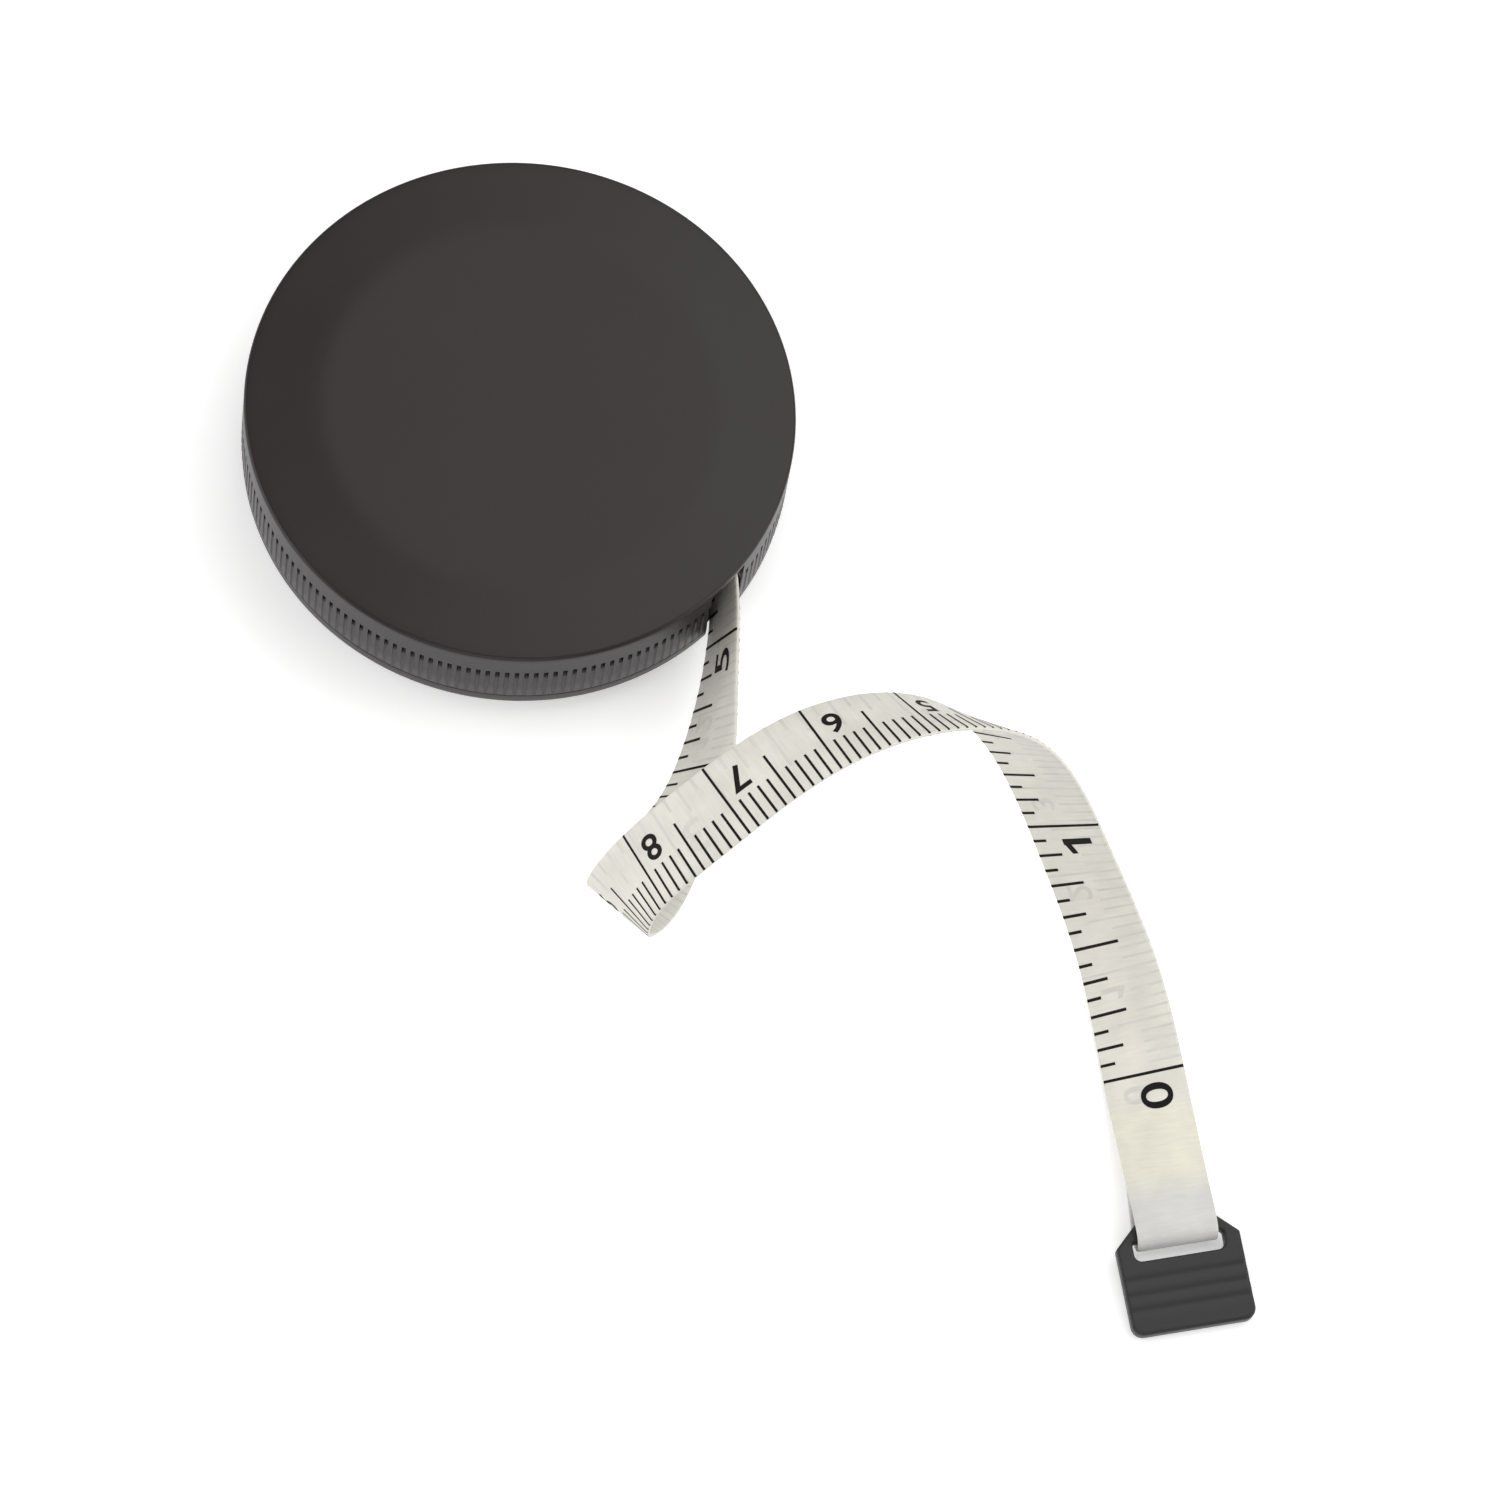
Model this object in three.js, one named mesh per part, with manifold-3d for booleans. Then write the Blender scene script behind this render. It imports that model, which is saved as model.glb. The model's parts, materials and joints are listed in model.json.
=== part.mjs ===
// Pocket tape measure: a round two-shell case with a knurled rim, a sprung reel with a friction brake
// that a push button on the underside lets go, a soft printed tape and a flat pull tab on its end.
// Millimetres, +Z up. The case stands on z = 0 with its axis on Z, and its plain face points up.

import * as THREE from 'three';
import { mergeVertices } from 'three/addons/utils/BufferGeometryUtils.js';
import Module from 'manifold-3d';

// Case shells
const CASE_R = 25.5; // outer radius of the rim
const ROOF = 1.4; // thickness of the plain face
const FLOOR = 1.4; // thickness of the bottom
const WALL = 1.4; // side wall of the upper shell
const FACE_EDGE_R = 0.5; // rounding between the plain face and the rim
const BAND_H = 3.5; // smooth band under the plain face
const PART_Z = 4.1; // lower edge of the upper shell
const PART_GAP = 0.3; // open line between the two shells
const RIM_STEP = 0.1; // the lower shell's rim stands this far inside the upper one
const RIM_H = 1.45; // upright part of that rim
const RIM_BEVEL = 3.3; // slant under it, from the rim in to the ring that the case stands on
const SPIGOT_WALL = 1; // ring of the lower shell inside the upper one
const SPIGOT_H = 2.6; // its height above the parting line
const SPIGOT_GAP = 0.2; // side clearance of that ring
const BEAD = 0.35; // snap bead around the ring
const BEAD_H = 0.8; // height of the bead
const BEAD_GAP = 0.25; // clearance of the bead in its groove

// Knurl of the rim
const KNURL_COUNT = 180; // upright grooves around the rim
const KNURL_DEPTH = 0.35; // depth of one groove
const KNURL_LAND = 0.55; // share of the pitch left as a rib
const KNURL_SETBACK = 0.05; // the ribs stand this far under the smooth band
const KNURL_BACK = 0.3; // depth of the solid wall that the ribs share

// Slot that the tape leaves by
const SLOT_ANGLE = -30; // its middle on the rim, degrees from +X
const SLOT_HEADING = -78; // way that the tape leaves, degrees from +X
const SLOT_W = 3; // width across the tape's faces
const SLOT_L = 11; // length of the cut, through both walls
const SILL_GAP = 0.2; // the sill stands this far over the floor

// Axle post and its clip
const POST_R = 2.2; // fixed steel post in the middle of the case
const POST_LAND = 0.3; // end of the post under the clip's groove
const SOCKET_DEPTH = 0.8; // how far the post goes into the plain face
const PRESS_GAP = 0.05; // fit of pins that are pressed in
const BOSS_R = 4; // boss around the post, under the plain face
const BOSS_H = 0.8; // its height
const CLIP_GAP = 0.1; // clearance on both sides of the washer that lies on the clip
const WASHER_T = 0.25; // thickness of that washer
const CLIP_T = 0.25; // thickness of the clip
const CLIP_R = 3.4; // outer radius of the clip
const CLIP_SEAT_R = 1.75; // groove in the post
const CLIP_OPEN = 2.6; // open side of the clip

// Reel
const TAPE_W = 7.5; // width of the tape
const TAPE_T = 0.4; // thickness of the tape
const TAPE_SIDE_GAP = 0.2; // clearance between the tape and a flange
const HUB_R = 14; // radius that the tape is wound on
const HUB_WALL = 1.2; // wall of the hub, also the brake drum
const FLANGE_LIP = 1.4; // flanges stand this far past a full reel of tape
const FLANGE_T = 0.6; // thickness of both flanges
const REEL_RIM_GAP = 2.1; // room around the flanges, where the tape leaves
const REEL_GAP = 0.35; // clearance under the lower flange and over the upper one
const WEB_T = 0.8; // thickness of the web between brake and spring
const RUN_GAP = 0.08; // running clearance on the post
const COVER_SEAT_GAP = 0.2; // joint between hub and cover
const COVER_RING_T = 0.8; // ring of the cover inside the hub
const COVER_RING_H = 0.9; // its height
const COVER_BORE_GAP = 0.4; // clearance of the cover around the boss
const COIL_GAP = 0.3; // clearance of the wound tape on the hub

// Power spring and tape anchor
const SPRING_T = 0.25; // thickness of the spring strip
const SPRING_SEAT_GAP = 0.3; // clearance over the web, under the cover and inside the hub
const SPRING_EYE_GAP = 0.12; // clearance of its inner eye on the post
const SPRING_TURNS = 7; // turns of the spiral
const DISC_T = 0.25; // disc that keeps the turns of the spring flat
const DISC_GAP = 0.15; // clearance of the disc over the spring and inside the cover
const ANCHOR_R = 0.6; // pin that holds the inner end of the tape
const ANCHOR_ANGLE = 200; // place around the hub, degrees
const ANCHOR_END_GAP = 0.1; // the pin stays this far under the wound tape

// Push button and its spring
const BUTTON_R = 8; // finger face of the button
const BUTTON_GAP = 0.3; // clearance in the hole of the lower shell
const BUTTON_RECESS = 0.6; // the face stands this far inside the base
const BUTTON_CHAMFER = 0.4; // edge of the finger face
const LIP_GAP = 0.35; // clearance between the button's lip and the brake
const BUTTON_LIP_T = 0.7; // thickness of the lip
const BUTTON_TRAVEL = 1.5; // stroke of the button
const STROKE_GAP = 0.3; // room left over the pressed button
const PEG_R = 1.1; // peg inside the button spring
const PEG_H = 0.5; // height of the peg
const WIRE_R = 0.2; // wire of the button spring
const BUTTON_SPRING_R = 1.6; // middle radius of the button spring
const BUTTON_SPRING_TURNS = 2.5; // its turns
const SPRING_END_GAP = 0.05; // clearance at both ends of a coil spring

// Brake
const LEVER_W = 1.8; // width of the lever
const LEVER_T = 2.2; // height of the lever
const LEVER_GAP = 0.2; // clearance between the lever and the boss under it
const PIVOT_ANGLE = 150; // place of the pivot around the case, degrees
const LEVER_SPAN = 70; // lever from pivot to free end, degrees
const TAIL_SPAN = 12; // tail on the other side of the pivot, degrees
const EYE_R = 1.4; // eye of the lever around the pin
const PIN_R = 0.7; // brake pin
const PIN_GAP = 0.1; // clearance of the lever on the pin
const PIN_SINK = 0.9; // how far the pin goes into the floor and its boss
const PIN_TOP_GAP = 0.2; // the pin ends this far under the web
const PIN_BOSS_R = 1.4; // boss that the pin stands in
const PIN_BOSS_H = 0.7; // its height over the floor
const PAD_SPAN = 25; // lining of the lever, degrees
const PAD_T = 0.7; // thickness of the lining
const PAD_BOND = 0.15; // glue line between lever and lining
const PAD_GAP = 0.1; // clearance between lining and drum
const CAM_ANGLE = 141; // rib on the button that moves the tail, degrees
const CAM_W = 1.2; // width of the rib
const CAM_ROOT = 0.6; // the rib reaches this far into the lip
const CAM_GAP = 0.2; // clearance between rib and tail at rest
const CAM_RISE = 0.12; // taper of the rib over its height
const COIL_WIRE_R = 0.12; // wire of the brake spring
const BRAKE_SPRING_R = 1.1; // middle radius of the brake spring
const BRAKE_SPRING_TURNS = 2; // its turns

// Pull tab on the end of the tape
const TAB_X = 73.4; // bar of the tab, along X
const TAB_Y = -62.3; // bar of the tab, along Y
const TAB_HEADING = -68; // way that the tab points, degrees from +X
const TAB_W = 11.5; // width of the tab
const TAB_L = 10.3; // length of the tab
const TAB_T = 1.3; // thickness of the tab
const TAB_BAR = 1.7; // bar that the tape goes around
const TAB_BAR_ROUND = 0.35; // rounding of the bar, so that it turns in the tape
const TAB_SLOT_ROOM = 1.05; // open part of the slot behind the tape
const TAB_SLOT_SIDE = 0.45; // open part of the slot beside the tape
const TAB_SHOULDER_L = 2.1; // cut corners beside the bar, along the tab
const TAB_SHOULDER_W = 2.2; // and across it
const TAB_CORNER_R = 1.1; // rounded corners of the free end
const TAB_RIBS = 3; // finger ribs
const RIB_W = 0.5; // width of a finger rib
const RIB_H = 0.25; // height of a finger rib
const RIB_PITCH = 1.25; // distance between finger ribs
const RIB_INSET = 1.5; // last rib to the free end, and each rib to the sides
const LOOP_GAP = 0.3; // clearance of the tape around the bar
const TABLE_GAP = 0.05; // the end of the tape and the tab lie this far over the table
const FLAP_L = 6; // part of the tape that is turned back under itself
const FLAP_RISE = 1; // rise of that part towards the tape above it
const LOOP_LEAD = 1.85; // straight start of the turned end

// Facets
const ROUND = 72; // around the case
const REEL_ROUND = 48; // around the reel
const SMALL_ROUND = 24; // around pins and bosses
const PLAN_STEPS = 12; // along each half of a flat outline's arcs
const ARC_STEPS = 4; // along a rounded edge
const WIRE_STEPS = 3; // around each half of a spring wire
const TURN_STEPS = 16; // along one turn of a spring
const TAPE_STEPS = 78; // along the free tape

// Route of the free tape from the reel to the tab. Each row is a point on its middle line, then the
// way across the tape, from the edge with the inch marks to the edge with the centimetre marks.
const ROUTE = [
  [20, 1, 6.3, 0, 0, 1],
  [20, -4, 6.3, 0, 0, 1],
  [21.5, -10, 6, 0.2, 0, 1],
  [23, -20, 5, 0.4, 0, 0.9],
  [23, -31, 5, 0.8, 0.1, 0.6],
  [21.5, -38, 8, 1, 0, 0.2],
  [20, -45.5, 12.5, 0.9, -0.3, -0.1],
  [18.5, -49.5, 18, 0.9, -0.5, -0.1],
  [19.5, -49, 24, 0.7, -0.7, 0],
  [24, -45, 30, 0.7, -0.7, 0],
  [32, -37, 33, 0.6, -0.7, 0.2],
  [41, -30.5, 30.5, 0.7, -0.6, 0.5],
  [50, -27.5, 22, 0.7, -0.2, 0.6],
  [58, -32, 10.5, 0.7, 0.1, 0.7],
  [64, -39, 3.5, 0.8, 0.2, 0.5],
  [68.5, -49, 1.5, 0.9, 0.3, 0.2],
  [72.5, -60, 3, 0.9, 0.4, 0],
];

const wasm = await Module();
wasm.setup();

const rad = THREE.MathUtils.degToRad;
const polar = (r, degrees) => [r * Math.cos(rad(degrees)), r * Math.sin(rad(degrees))];

// Plastics, steel, lining and tape
const shellPlastic = new THREE.MeshStandardMaterial({ color: 0x2c2d2e, roughness: 0.55 });
const reelPlastic = new THREE.MeshStandardMaterial({ color: 0xd8d6cf, roughness: 0.5 });
const buttonPlastic = new THREE.MeshStandardMaterial({ color: 0x333435, roughness: 0.45 });
const tabPlastic = new THREE.MeshStandardMaterial({ color: 0x36383a, roughness: 0.5 });
const steel = new THREE.MeshStandardMaterial({ color: 0xb4b6b8, roughness: 0.3, metalness: 1 });
const springSteel = new THREE.MeshStandardMaterial({ color: 0x6d7886, roughness: 0.35, metalness: 1 });
const lining = new THREE.MeshStandardMaterial({ color: 0x5a3f33, roughness: 0.9 });
const tapeCloth = new THREE.MeshStandardMaterial({ color: 0xe2ddcf, roughness: 0.6 });

// Merges shared corners, drops collapsed triangles and turns the faces outward.
function closed(geometry) {
  geometry.deleteAttribute('normal');
  geometry.deleteAttribute('uv');
  const merged = mergeVertices(geometry, 1e-4);
  const at = merged.getAttribute('position');
  const from = merged.index.array;
  const kept = [];
  let volume = 0;
  const a = new THREE.Vector3();
  const b = new THREE.Vector3();
  const c = new THREE.Vector3();
  for (let i = 0; i < from.length; i += 3) {
    const [i0, i1, i2] = [from[i], from[i + 1], from[i + 2]];
    if (i0 === i1 || i1 === i2 || i2 === i0) continue;
    kept.push(i0, i1, i2);
    a.fromBufferAttribute(at, i0);
    b.fromBufferAttribute(at, i1);
    c.fromBufferAttribute(at, i2);
    volume += a.dot(b.cross(c));
  }
  if (volume < 0) kept.reverse();
  const out = new THREE.BufferGeometry();
  out.setAttribute('position', at);
  out.setIndex(kept);
  return out;
}

// A closed geometry as a solid that can be joined and cut.
function solid(geometry) {
  const shape = closed(geometry);
  return new wasm.Manifold(new wasm.Mesh({
    numProp: 3,
    vertProperties: new Float32Array(shape.getAttribute('position').array),
    triVerts: new Uint32Array(shape.index.array),
  }));
}

// A joined or cut solid as a geometry again.
function geometryOf(body) {
  const mesh = body.getMesh();
  const out = new THREE.BufferGeometry();
  out.setAttribute('position', new THREE.BufferAttribute(mesh.vertProperties, 3));
  out.setIndex(new THREE.BufferAttribute(mesh.triVerts, 1));
  return closed(out);
}

// Turns a profile of [radius, height] rows around the Z axis.
function turned(profile, segments) {
  const points = profile.map(([r, z]) => new THREE.Vector2(r, z));
  return new THREE.LatheGeometry(points, segments).rotateX(Math.PI / 2);
}

// Turns a ring whose profile closes on itself.
const turnedRing = (profile, segments) => turned([...profile, profile[0]], segments);

// An upright cylinder between two heights.
const rod = (r, z0, z1, segments) => turned([[0, z0], [r, z0], [r, z1], [0, z1]], segments);

// Lifts a flat outline into a plate between two heights.
function plate(shape, z0, z1) {
  const settings = { depth: z1 - z0, bevelEnabled: false, curveSegments: PLAN_STEPS };
  return new THREE.ExtrudeGeometry(shape, settings).translate(0, 0, z0);
}

// A quarter round of a profile, from angle a0 to a1 in degrees.
function quarter(r0, z0, r, a0, a1) {
  return Array.from({ length: ARC_STEPS + 1 }, (_, i) => {
    const [x, y] = polar(r, a0 + ((a1 - a0) * i) / ARC_STEPS);
    return [r0 + x, z0 + y];
  });
}

// A wire bent along a curve.
function wire(curve, steps, r) {
  const section = new THREE.Shape();
  section.absarc(0, 0, r, 0, 2 * Math.PI);
  return new THREE.ExtrudeGeometry(section, { extrudePath: curve, steps, curveSegments: WIRE_STEPS });
}

// The middle line of a coil spring between two heights.
function coil(r, z0, z1, turns) {
  const count = Math.round(turns * TURN_STEPS);
  const points = Array.from({ length: count + 1 }, (_, i) => {
    const [x, y] = polar(r, (360 * turns * i) / count);
    return new THREE.Vector3(x, y, z0 + ((z1 - z0) * i) / count);
  });
  return new THREE.CatmullRomCurve3(points);
}

// An outline that follows a line of [x, y] rows with half the thickness on each side.
function stripShape(line, thickness) {
  const side = (sign) => line.map(([x, y], i) => {
    const [x0, y0] = line[Math.max(i - 1, 0)];
    const [x1, y1] = line[Math.min(i + 1, line.length - 1)];
    const long = Math.hypot(x1 - x0, y1 - y0);
    const half = (sign * thickness) / 2;
    return new THREE.Vector2(x - (half * (y1 - y0)) / long, y + (half * (x1 - x0)) / long);
  });
  return new THREE.Shape([...side(1), ...side(-1).reverse()]);
}

// A plan outline between two radii and two angles in degrees.
function sectorShape(r0, r1, a0, a1) {
  const shape = new THREE.Shape();
  shape.absarc(0, 0, r1, rad(a0), rad(a1), false);
  shape.absarc(0, 0, r0, rad(a1), rad(a0), true);
  shape.closePath();
  return shape;
}

const tool = new THREE.Group();

function addPiece(name, geometry, material, parent = tool) {
  const mesh = new THREE.Mesh(closed(geometry), material);
  mesh.name = name;
  parent.add(mesh);
  return mesh;
}

// Heights that several pieces share, from the table up
const flangeZ = FLOOR + REEL_GAP;
const flangeTop = flangeZ + FLANGE_T;
const tapeBottom = flangeTop + TAPE_SIDE_GAP;
const tapeTop = tapeBottom + TAPE_W;
const coverBottom = tapeTop + TAPE_SIDE_GAP;
const coverTop = coverBottom + FLANGE_T;
const hubTop = coverBottom - COVER_SEAT_GAP;
const roofZ = coverTop + REEL_GAP;
const caseH = roofZ + ROOF;
const knurlTop = caseH - BAND_H;
const spigotTop = PART_Z + SPIGOT_H;
const beadZ = spigotTop - 2 * BEAD_H;
const lipZ = FLOOR + BUTTON_GAP;
const lipTop = lipZ + BUTTON_LIP_T;
const postBottom = lipTop + PEG_H + BUTTON_TRAVEL + STROKE_GAP;
const clipZ = postBottom + POST_LAND;
const washerZ = clipZ + CLIP_T + CLIP_GAP;
const webZ = washerZ + WASHER_T + CLIP_GAP;
const springZ = webZ + WEB_T + SPRING_SEAT_GAP;
const springTop = coverBottom - COVER_RING_H - SPRING_SEAT_GAP;
const leverZ = FLOOR + PIN_BOSS_H + LEVER_GAP;
const leverTop = leverZ + LEVER_T;

// Radii that several pieces share, from the rim inward
const wallR = CASE_R - WALL;
const spigotR = wallR - SPIGOT_GAP;
const spigotInner = spigotR - SPIGOT_WALL;
const flangeR = spigotInner - REEL_RIM_GAP;
const coilR = flangeR - FLANGE_LIP;
const drumR = HUB_R - HUB_WALL;
const leverOuter = drumR - PAD_GAP - PAD_T - PAD_BOND;
const leverInner = leverOuter - LEVER_W;
const leverMidR = leverOuter - LEVER_W / 2;
const lipR = leverMidR - EYE_R - LIP_GAP;
const pivot = polar(leverMidR, PIVOT_ANGLE);

// The mouth that both shells share
function slotCut() {
  const z0 = FLOOR + SILL_GAP;
  const box = new THREE.BoxGeometry(SLOT_L, SLOT_W, roofZ - z0);
  return solid(box.rotateZ(rad(SLOT_HEADING)).translate(...polar(CASE_R, SLOT_ANGLE), (roofZ + z0) / 2));
}

// Upper shell: plain face, smooth band, knurled rim and the boss for the post
function upperShell() {
  const coreR = CASE_R - KNURL_DEPTH - KNURL_SETBACK;
  const grooveR = spigotR + BEAD + BEAD_GAP;
  const edgeR = CASE_R - FACE_EDGE_R;
  const cup = solid(turned([
    [0, caseH],
    ...quarter(edgeR, caseH - FACE_EDGE_R, FACE_EDGE_R, 90, 0),
    [CASE_R, knurlTop],
    [coreR, knurlTop],
    [coreR, PART_Z],
    [wallR, PART_Z],
    [wallR, beadZ - BEAD_GAP],
    [grooveR, beadZ],
    [grooveR, beadZ + BEAD_H],
    [wallR, beadZ + BEAD_H + BEAD_GAP],
    [wallR, roofZ],
    [BOSS_R, roofZ],
    [BOSS_R, roofZ - BOSS_H],
    [0, roofZ - BOSS_H],
  ], ROUND));
  const pitch = 360 / KNURL_COUNT;
  const ribR = CASE_R - KNURL_SETBACK;
  const outline = [];
  for (let i = 0; i < KNURL_COUNT; i += 1) {
    const a = i * pitch;
    outline.push(polar(ribR, a), polar(ribR, a + pitch * KNURL_LAND));
    outline.push(polar(ribR - KNURL_DEPTH, a + (pitch * (1 + KNURL_LAND)) / 2));
  }
  const ring = new THREE.Shape(outline.map(([x, y]) => new THREE.Vector2(x, y)));
  const bore = new THREE.Path();
  bore.absarc(0, 0, coreR - KNURL_BACK, 0, 2 * Math.PI, true);
  ring.holes.push(bore);
  const knurl = solid(plate(ring, PART_Z, knurlTop + KNURL_BACK));
  const socket = solid(rod(POST_R + PRESS_GAP, roofZ - 2 * BOSS_H, roofZ + SOCKET_DEPTH, SMALL_ROUND));
  return geometryOf(cup.add(knurl).subtract(socket).subtract(slotCut()));
}

// Lower shell: bottom with the button hole, slanted rim, snap ring and the boss for the brake pin
function lowerShell() {
  const holeR = BUTTON_R + BUTTON_GAP;
  const rimR = CASE_R - RIM_STEP;
  const rimZ = PART_Z - PART_GAP;
  const dish = solid(turnedRing([
    [holeR, 0],
    [CASE_R - RIM_BEVEL, 0],
    [rimR, rimZ - RIM_H],
    [rimR, rimZ],
    [spigotR, rimZ],
    [spigotR, beadZ - BEAD],
    [spigotR + BEAD, beadZ],
    [spigotR + BEAD, beadZ + BEAD_H - BEAD],
    [spigotR, beadZ + BEAD_H],
    [spigotR, spigotTop],
    [spigotInner, spigotTop],
    [spigotInner, FLOOR],
    [holeR, FLOOR],
  ], ROUND));
  const bossTop = FLOOR + PIN_BOSS_H;
  const boss = solid(rod(PIN_BOSS_R, FLOOR / 2, bossTop, SMALL_ROUND).translate(...pivot, 0));
  const drill = rod(PIN_R + PRESS_GAP, bossTop - PIN_SINK, bossTop + PIN_SINK, SMALL_ROUND);
  const hole = solid(drill.translate(...pivot, 0));
  return geometryOf(dish.add(boss).subtract(hole).subtract(slotCut()));
}

addPiece('upper_shell', upperShell(), shellPlastic);
addPiece('lower_shell', lowerShell(), shellPlastic);

// Post, pressed into the plain face, with a groove for the clip that carries the reel
const postTop = roofZ + SOCKET_DEPTH - PRESS_GAP;
addPiece('axle_post', turned([
  [0, postBottom],
  [POST_R, postBottom],
  [POST_R, clipZ - PRESS_GAP],
  [CLIP_SEAT_R, clipZ - PRESS_GAP],
  [CLIP_SEAT_R, clipZ + CLIP_T + PRESS_GAP],
  [POST_R, clipZ + CLIP_T + PRESS_GAP],
  [POST_R, postTop],
  [0, postTop],
], SMALL_ROUND), steel);

// Clip with one open side, pushed into the groove
function axleClip() {
  const ring = solid(turnedRing([
    [CLIP_SEAT_R + PRESS_GAP, clipZ],
    [CLIP_R, clipZ],
    [CLIP_R, clipZ + CLIP_T],
    [CLIP_SEAT_R + PRESS_GAP, clipZ + CLIP_T],
  ], SMALL_ROUND));
  const mouth = new THREE.BoxGeometry(CLIP_R, CLIP_OPEN, 4 * CLIP_T);
  return geometryOf(ring.subtract(solid(mouth.translate(CLIP_R / 2, 0, clipZ + CLIP_T / 2))));
}
addPiece('axle_clip', axleClip(), springSteel);

// Washer on the clip, which the reel turns on
addPiece('thrust_washer', turnedRing([
  [POST_R + RUN_GAP, washerZ],
  [CLIP_R, washerZ],
  [CLIP_R, washerZ + WASHER_T],
  [POST_R + RUN_GAP, washerZ + WASHER_T],
], SMALL_ROUND), reelPlastic);

// Height of the pin that holds the inner end of the tape, over the brake drum
const anchorZ = (springZ + springTop) / 2;

// Hub with its lower flange; the web inside parts the brake drum from the spring chamber
function reelHub() {
  const bore = POST_R + RUN_GAP;
  const hub = solid(turnedRing([
    [bore, webZ],
    [drumR, webZ],
    [drumR, flangeZ],
    [flangeR, flangeZ],
    [flangeR, flangeTop],
    [HUB_R, flangeTop],
    [HUB_R, hubTop],
    [drumR, hubTop],
    [drumR, webZ + WEB_T],
    [bore, webZ + WEB_T],
  ], REEL_ROUND));
  const drill = rod(ANCHOR_R + PRESS_GAP, -HUB_WALL, HUB_WALL, SMALL_ROUND).rotateY(Math.PI / 2);
  drill.translate(HUB_R - HUB_WALL / 2, 0, anchorZ).rotateZ(rad(ANCHOR_ANGLE));
  return geometryOf(hub.subtract(solid(drill)));
}
addPiece('reel_hub', reelHub(), reelPlastic);

// Cover of the spring chamber, also the upper flange
const ringR = drumR - COVER_SEAT_GAP;
addPiece('reel_cover', turnedRing([
  [BOSS_R + COVER_BORE_GAP, coverBottom],
  [ringR - COVER_RING_T, coverBottom],
  [ringR - COVER_RING_T, coverBottom - COVER_RING_H],
  [ringR, coverBottom - COVER_RING_H],
  [ringR, coverBottom],
  [flangeR, coverBottom],
  [flangeR, coverTop],
  [BOSS_R + COVER_BORE_GAP, coverTop],
], REEL_ROUND), reelPlastic);

// Flat spiral spring from its eye on the post to the wall of the hub
function powerSpring() {
  const first = POST_R + SPRING_EYE_GAP + SPRING_T / 2;
  const last = drumR - SPRING_SEAT_GAP - SPRING_T / 2;
  const count = SPRING_TURNS * TURN_STEPS;
  const line = Array.from({ length: count + 1 }, (_, i) => (
    polar(first + ((last - first) * i) / count, (360 * SPRING_TURNS * i) / count)));
  return plate(stripShape(line, SPRING_T), springZ, springTop);
}
addPiece('power_spring', powerSpring(), springSteel);

// Thin disc over the spring, inside the ring of the cover
const discZ = springTop + DISC_GAP;
const discR = ringR - COVER_RING_T - DISC_GAP;
addPiece('spring_disc', turnedRing([
  [POST_R + COVER_BORE_GAP, discZ],
  [discR, discZ],
  [discR, discZ + DISC_T],
  [POST_R + COVER_BORE_GAP, discZ + DISC_T],
], REEL_ROUND), reelPlastic);

// Pin through the hub
const anchor = rod(ANCHOR_R, drumR, HUB_R + COIL_GAP - ANCHOR_END_GAP, SMALL_ROUND);
const anchorPin = addPiece('tape_anchor', anchor.rotateY(Math.PI / 2), steel);
anchorPin.rotation.z = rad(ANCHOR_ANGLE);
anchorPin.position.z = anchorZ;

// Wound tape on the reel
addPiece('tape_coil', turnedRing([
  [HUB_R + COIL_GAP, tapeBottom],
  [coilR, tapeBottom],
  [coilR, tapeTop],
  [HUB_R + COIL_GAP, tapeTop],
], REEL_ROUND), tapeCloth);

// Button with its lip, the peg for its spring and the tapered rib that moves the brake
function pushButton() {
  const cap = solid(turned([
    [0, BUTTON_RECESS],
    [BUTTON_R - BUTTON_CHAMFER, BUTTON_RECESS],
    [BUTTON_R, BUTTON_RECESS + BUTTON_CHAMFER],
    [BUTTON_R, lipZ],
    [lipR, lipZ],
    [lipR, lipTop],
    [PEG_R, lipTop],
    [PEG_R, lipTop + PEG_H],
    [0, lipTop + PEG_H],
  ], REEL_ROUND));
  const camTop = webZ - STROKE_GAP - BUTTON_TRAVEL;
  const camR = leverInner - CAM_GAP;
  const side = new THREE.Shape([
    new THREE.Vector2(lipR - CAM_ROOT, lipTop - BUTTON_LIP_T / 2),
    new THREE.Vector2(camR + CAM_RISE, lipTop - BUTTON_LIP_T / 2),
    new THREE.Vector2(camR, camTop),
    new THREE.Vector2(lipR - CAM_ROOT, camTop),
  ]);
  const rib = plate(side, -CAM_W / 2, CAM_W / 2).rotateX(Math.PI / 2).rotateZ(rad(CAM_ANGLE));
  return geometryOf(cap.add(solid(rib)));
}
addPiece('push_button', pushButton(), buttonPlastic);

// Spring between the button and the lower end of the post
const buttonSpringLine = coil(
  BUTTON_SPRING_R,
  lipTop + WIRE_R + SPRING_END_GAP,
  postBottom - WIRE_R - SPRING_END_GAP,
  BUTTON_SPRING_TURNS,
);
const buttonSpringSteps = BUTTON_SPRING_TURNS * TURN_STEPS;
addPiece('button_spring', wire(buttonSpringLine, buttonSpringSteps, WIRE_R), springSteel);

// Brake lever: a curved arm with an eye on the pin and a short tail beside the button's rib
function brakeLever() {
  const plan = sectorShape(leverInner, leverOuter, PIVOT_ANGLE - TAIL_SPAN, PIVOT_ANGLE + LEVER_SPAN);
  const arm = solid(plate(plan, leverZ, leverTop));
  const eye = solid(rod(EYE_R, leverZ, leverTop, SMALL_ROUND).translate(...pivot, 0));
  const drill = rod(PIN_R + PIN_GAP, leverZ - LEVER_T, leverTop + LEVER_T, SMALL_ROUND);
  return geometryOf(arm.add(eye).subtract(solid(drill.translate(...pivot, 0))));
}
addPiece('brake_lever', brakeLever(), reelPlastic);

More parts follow.
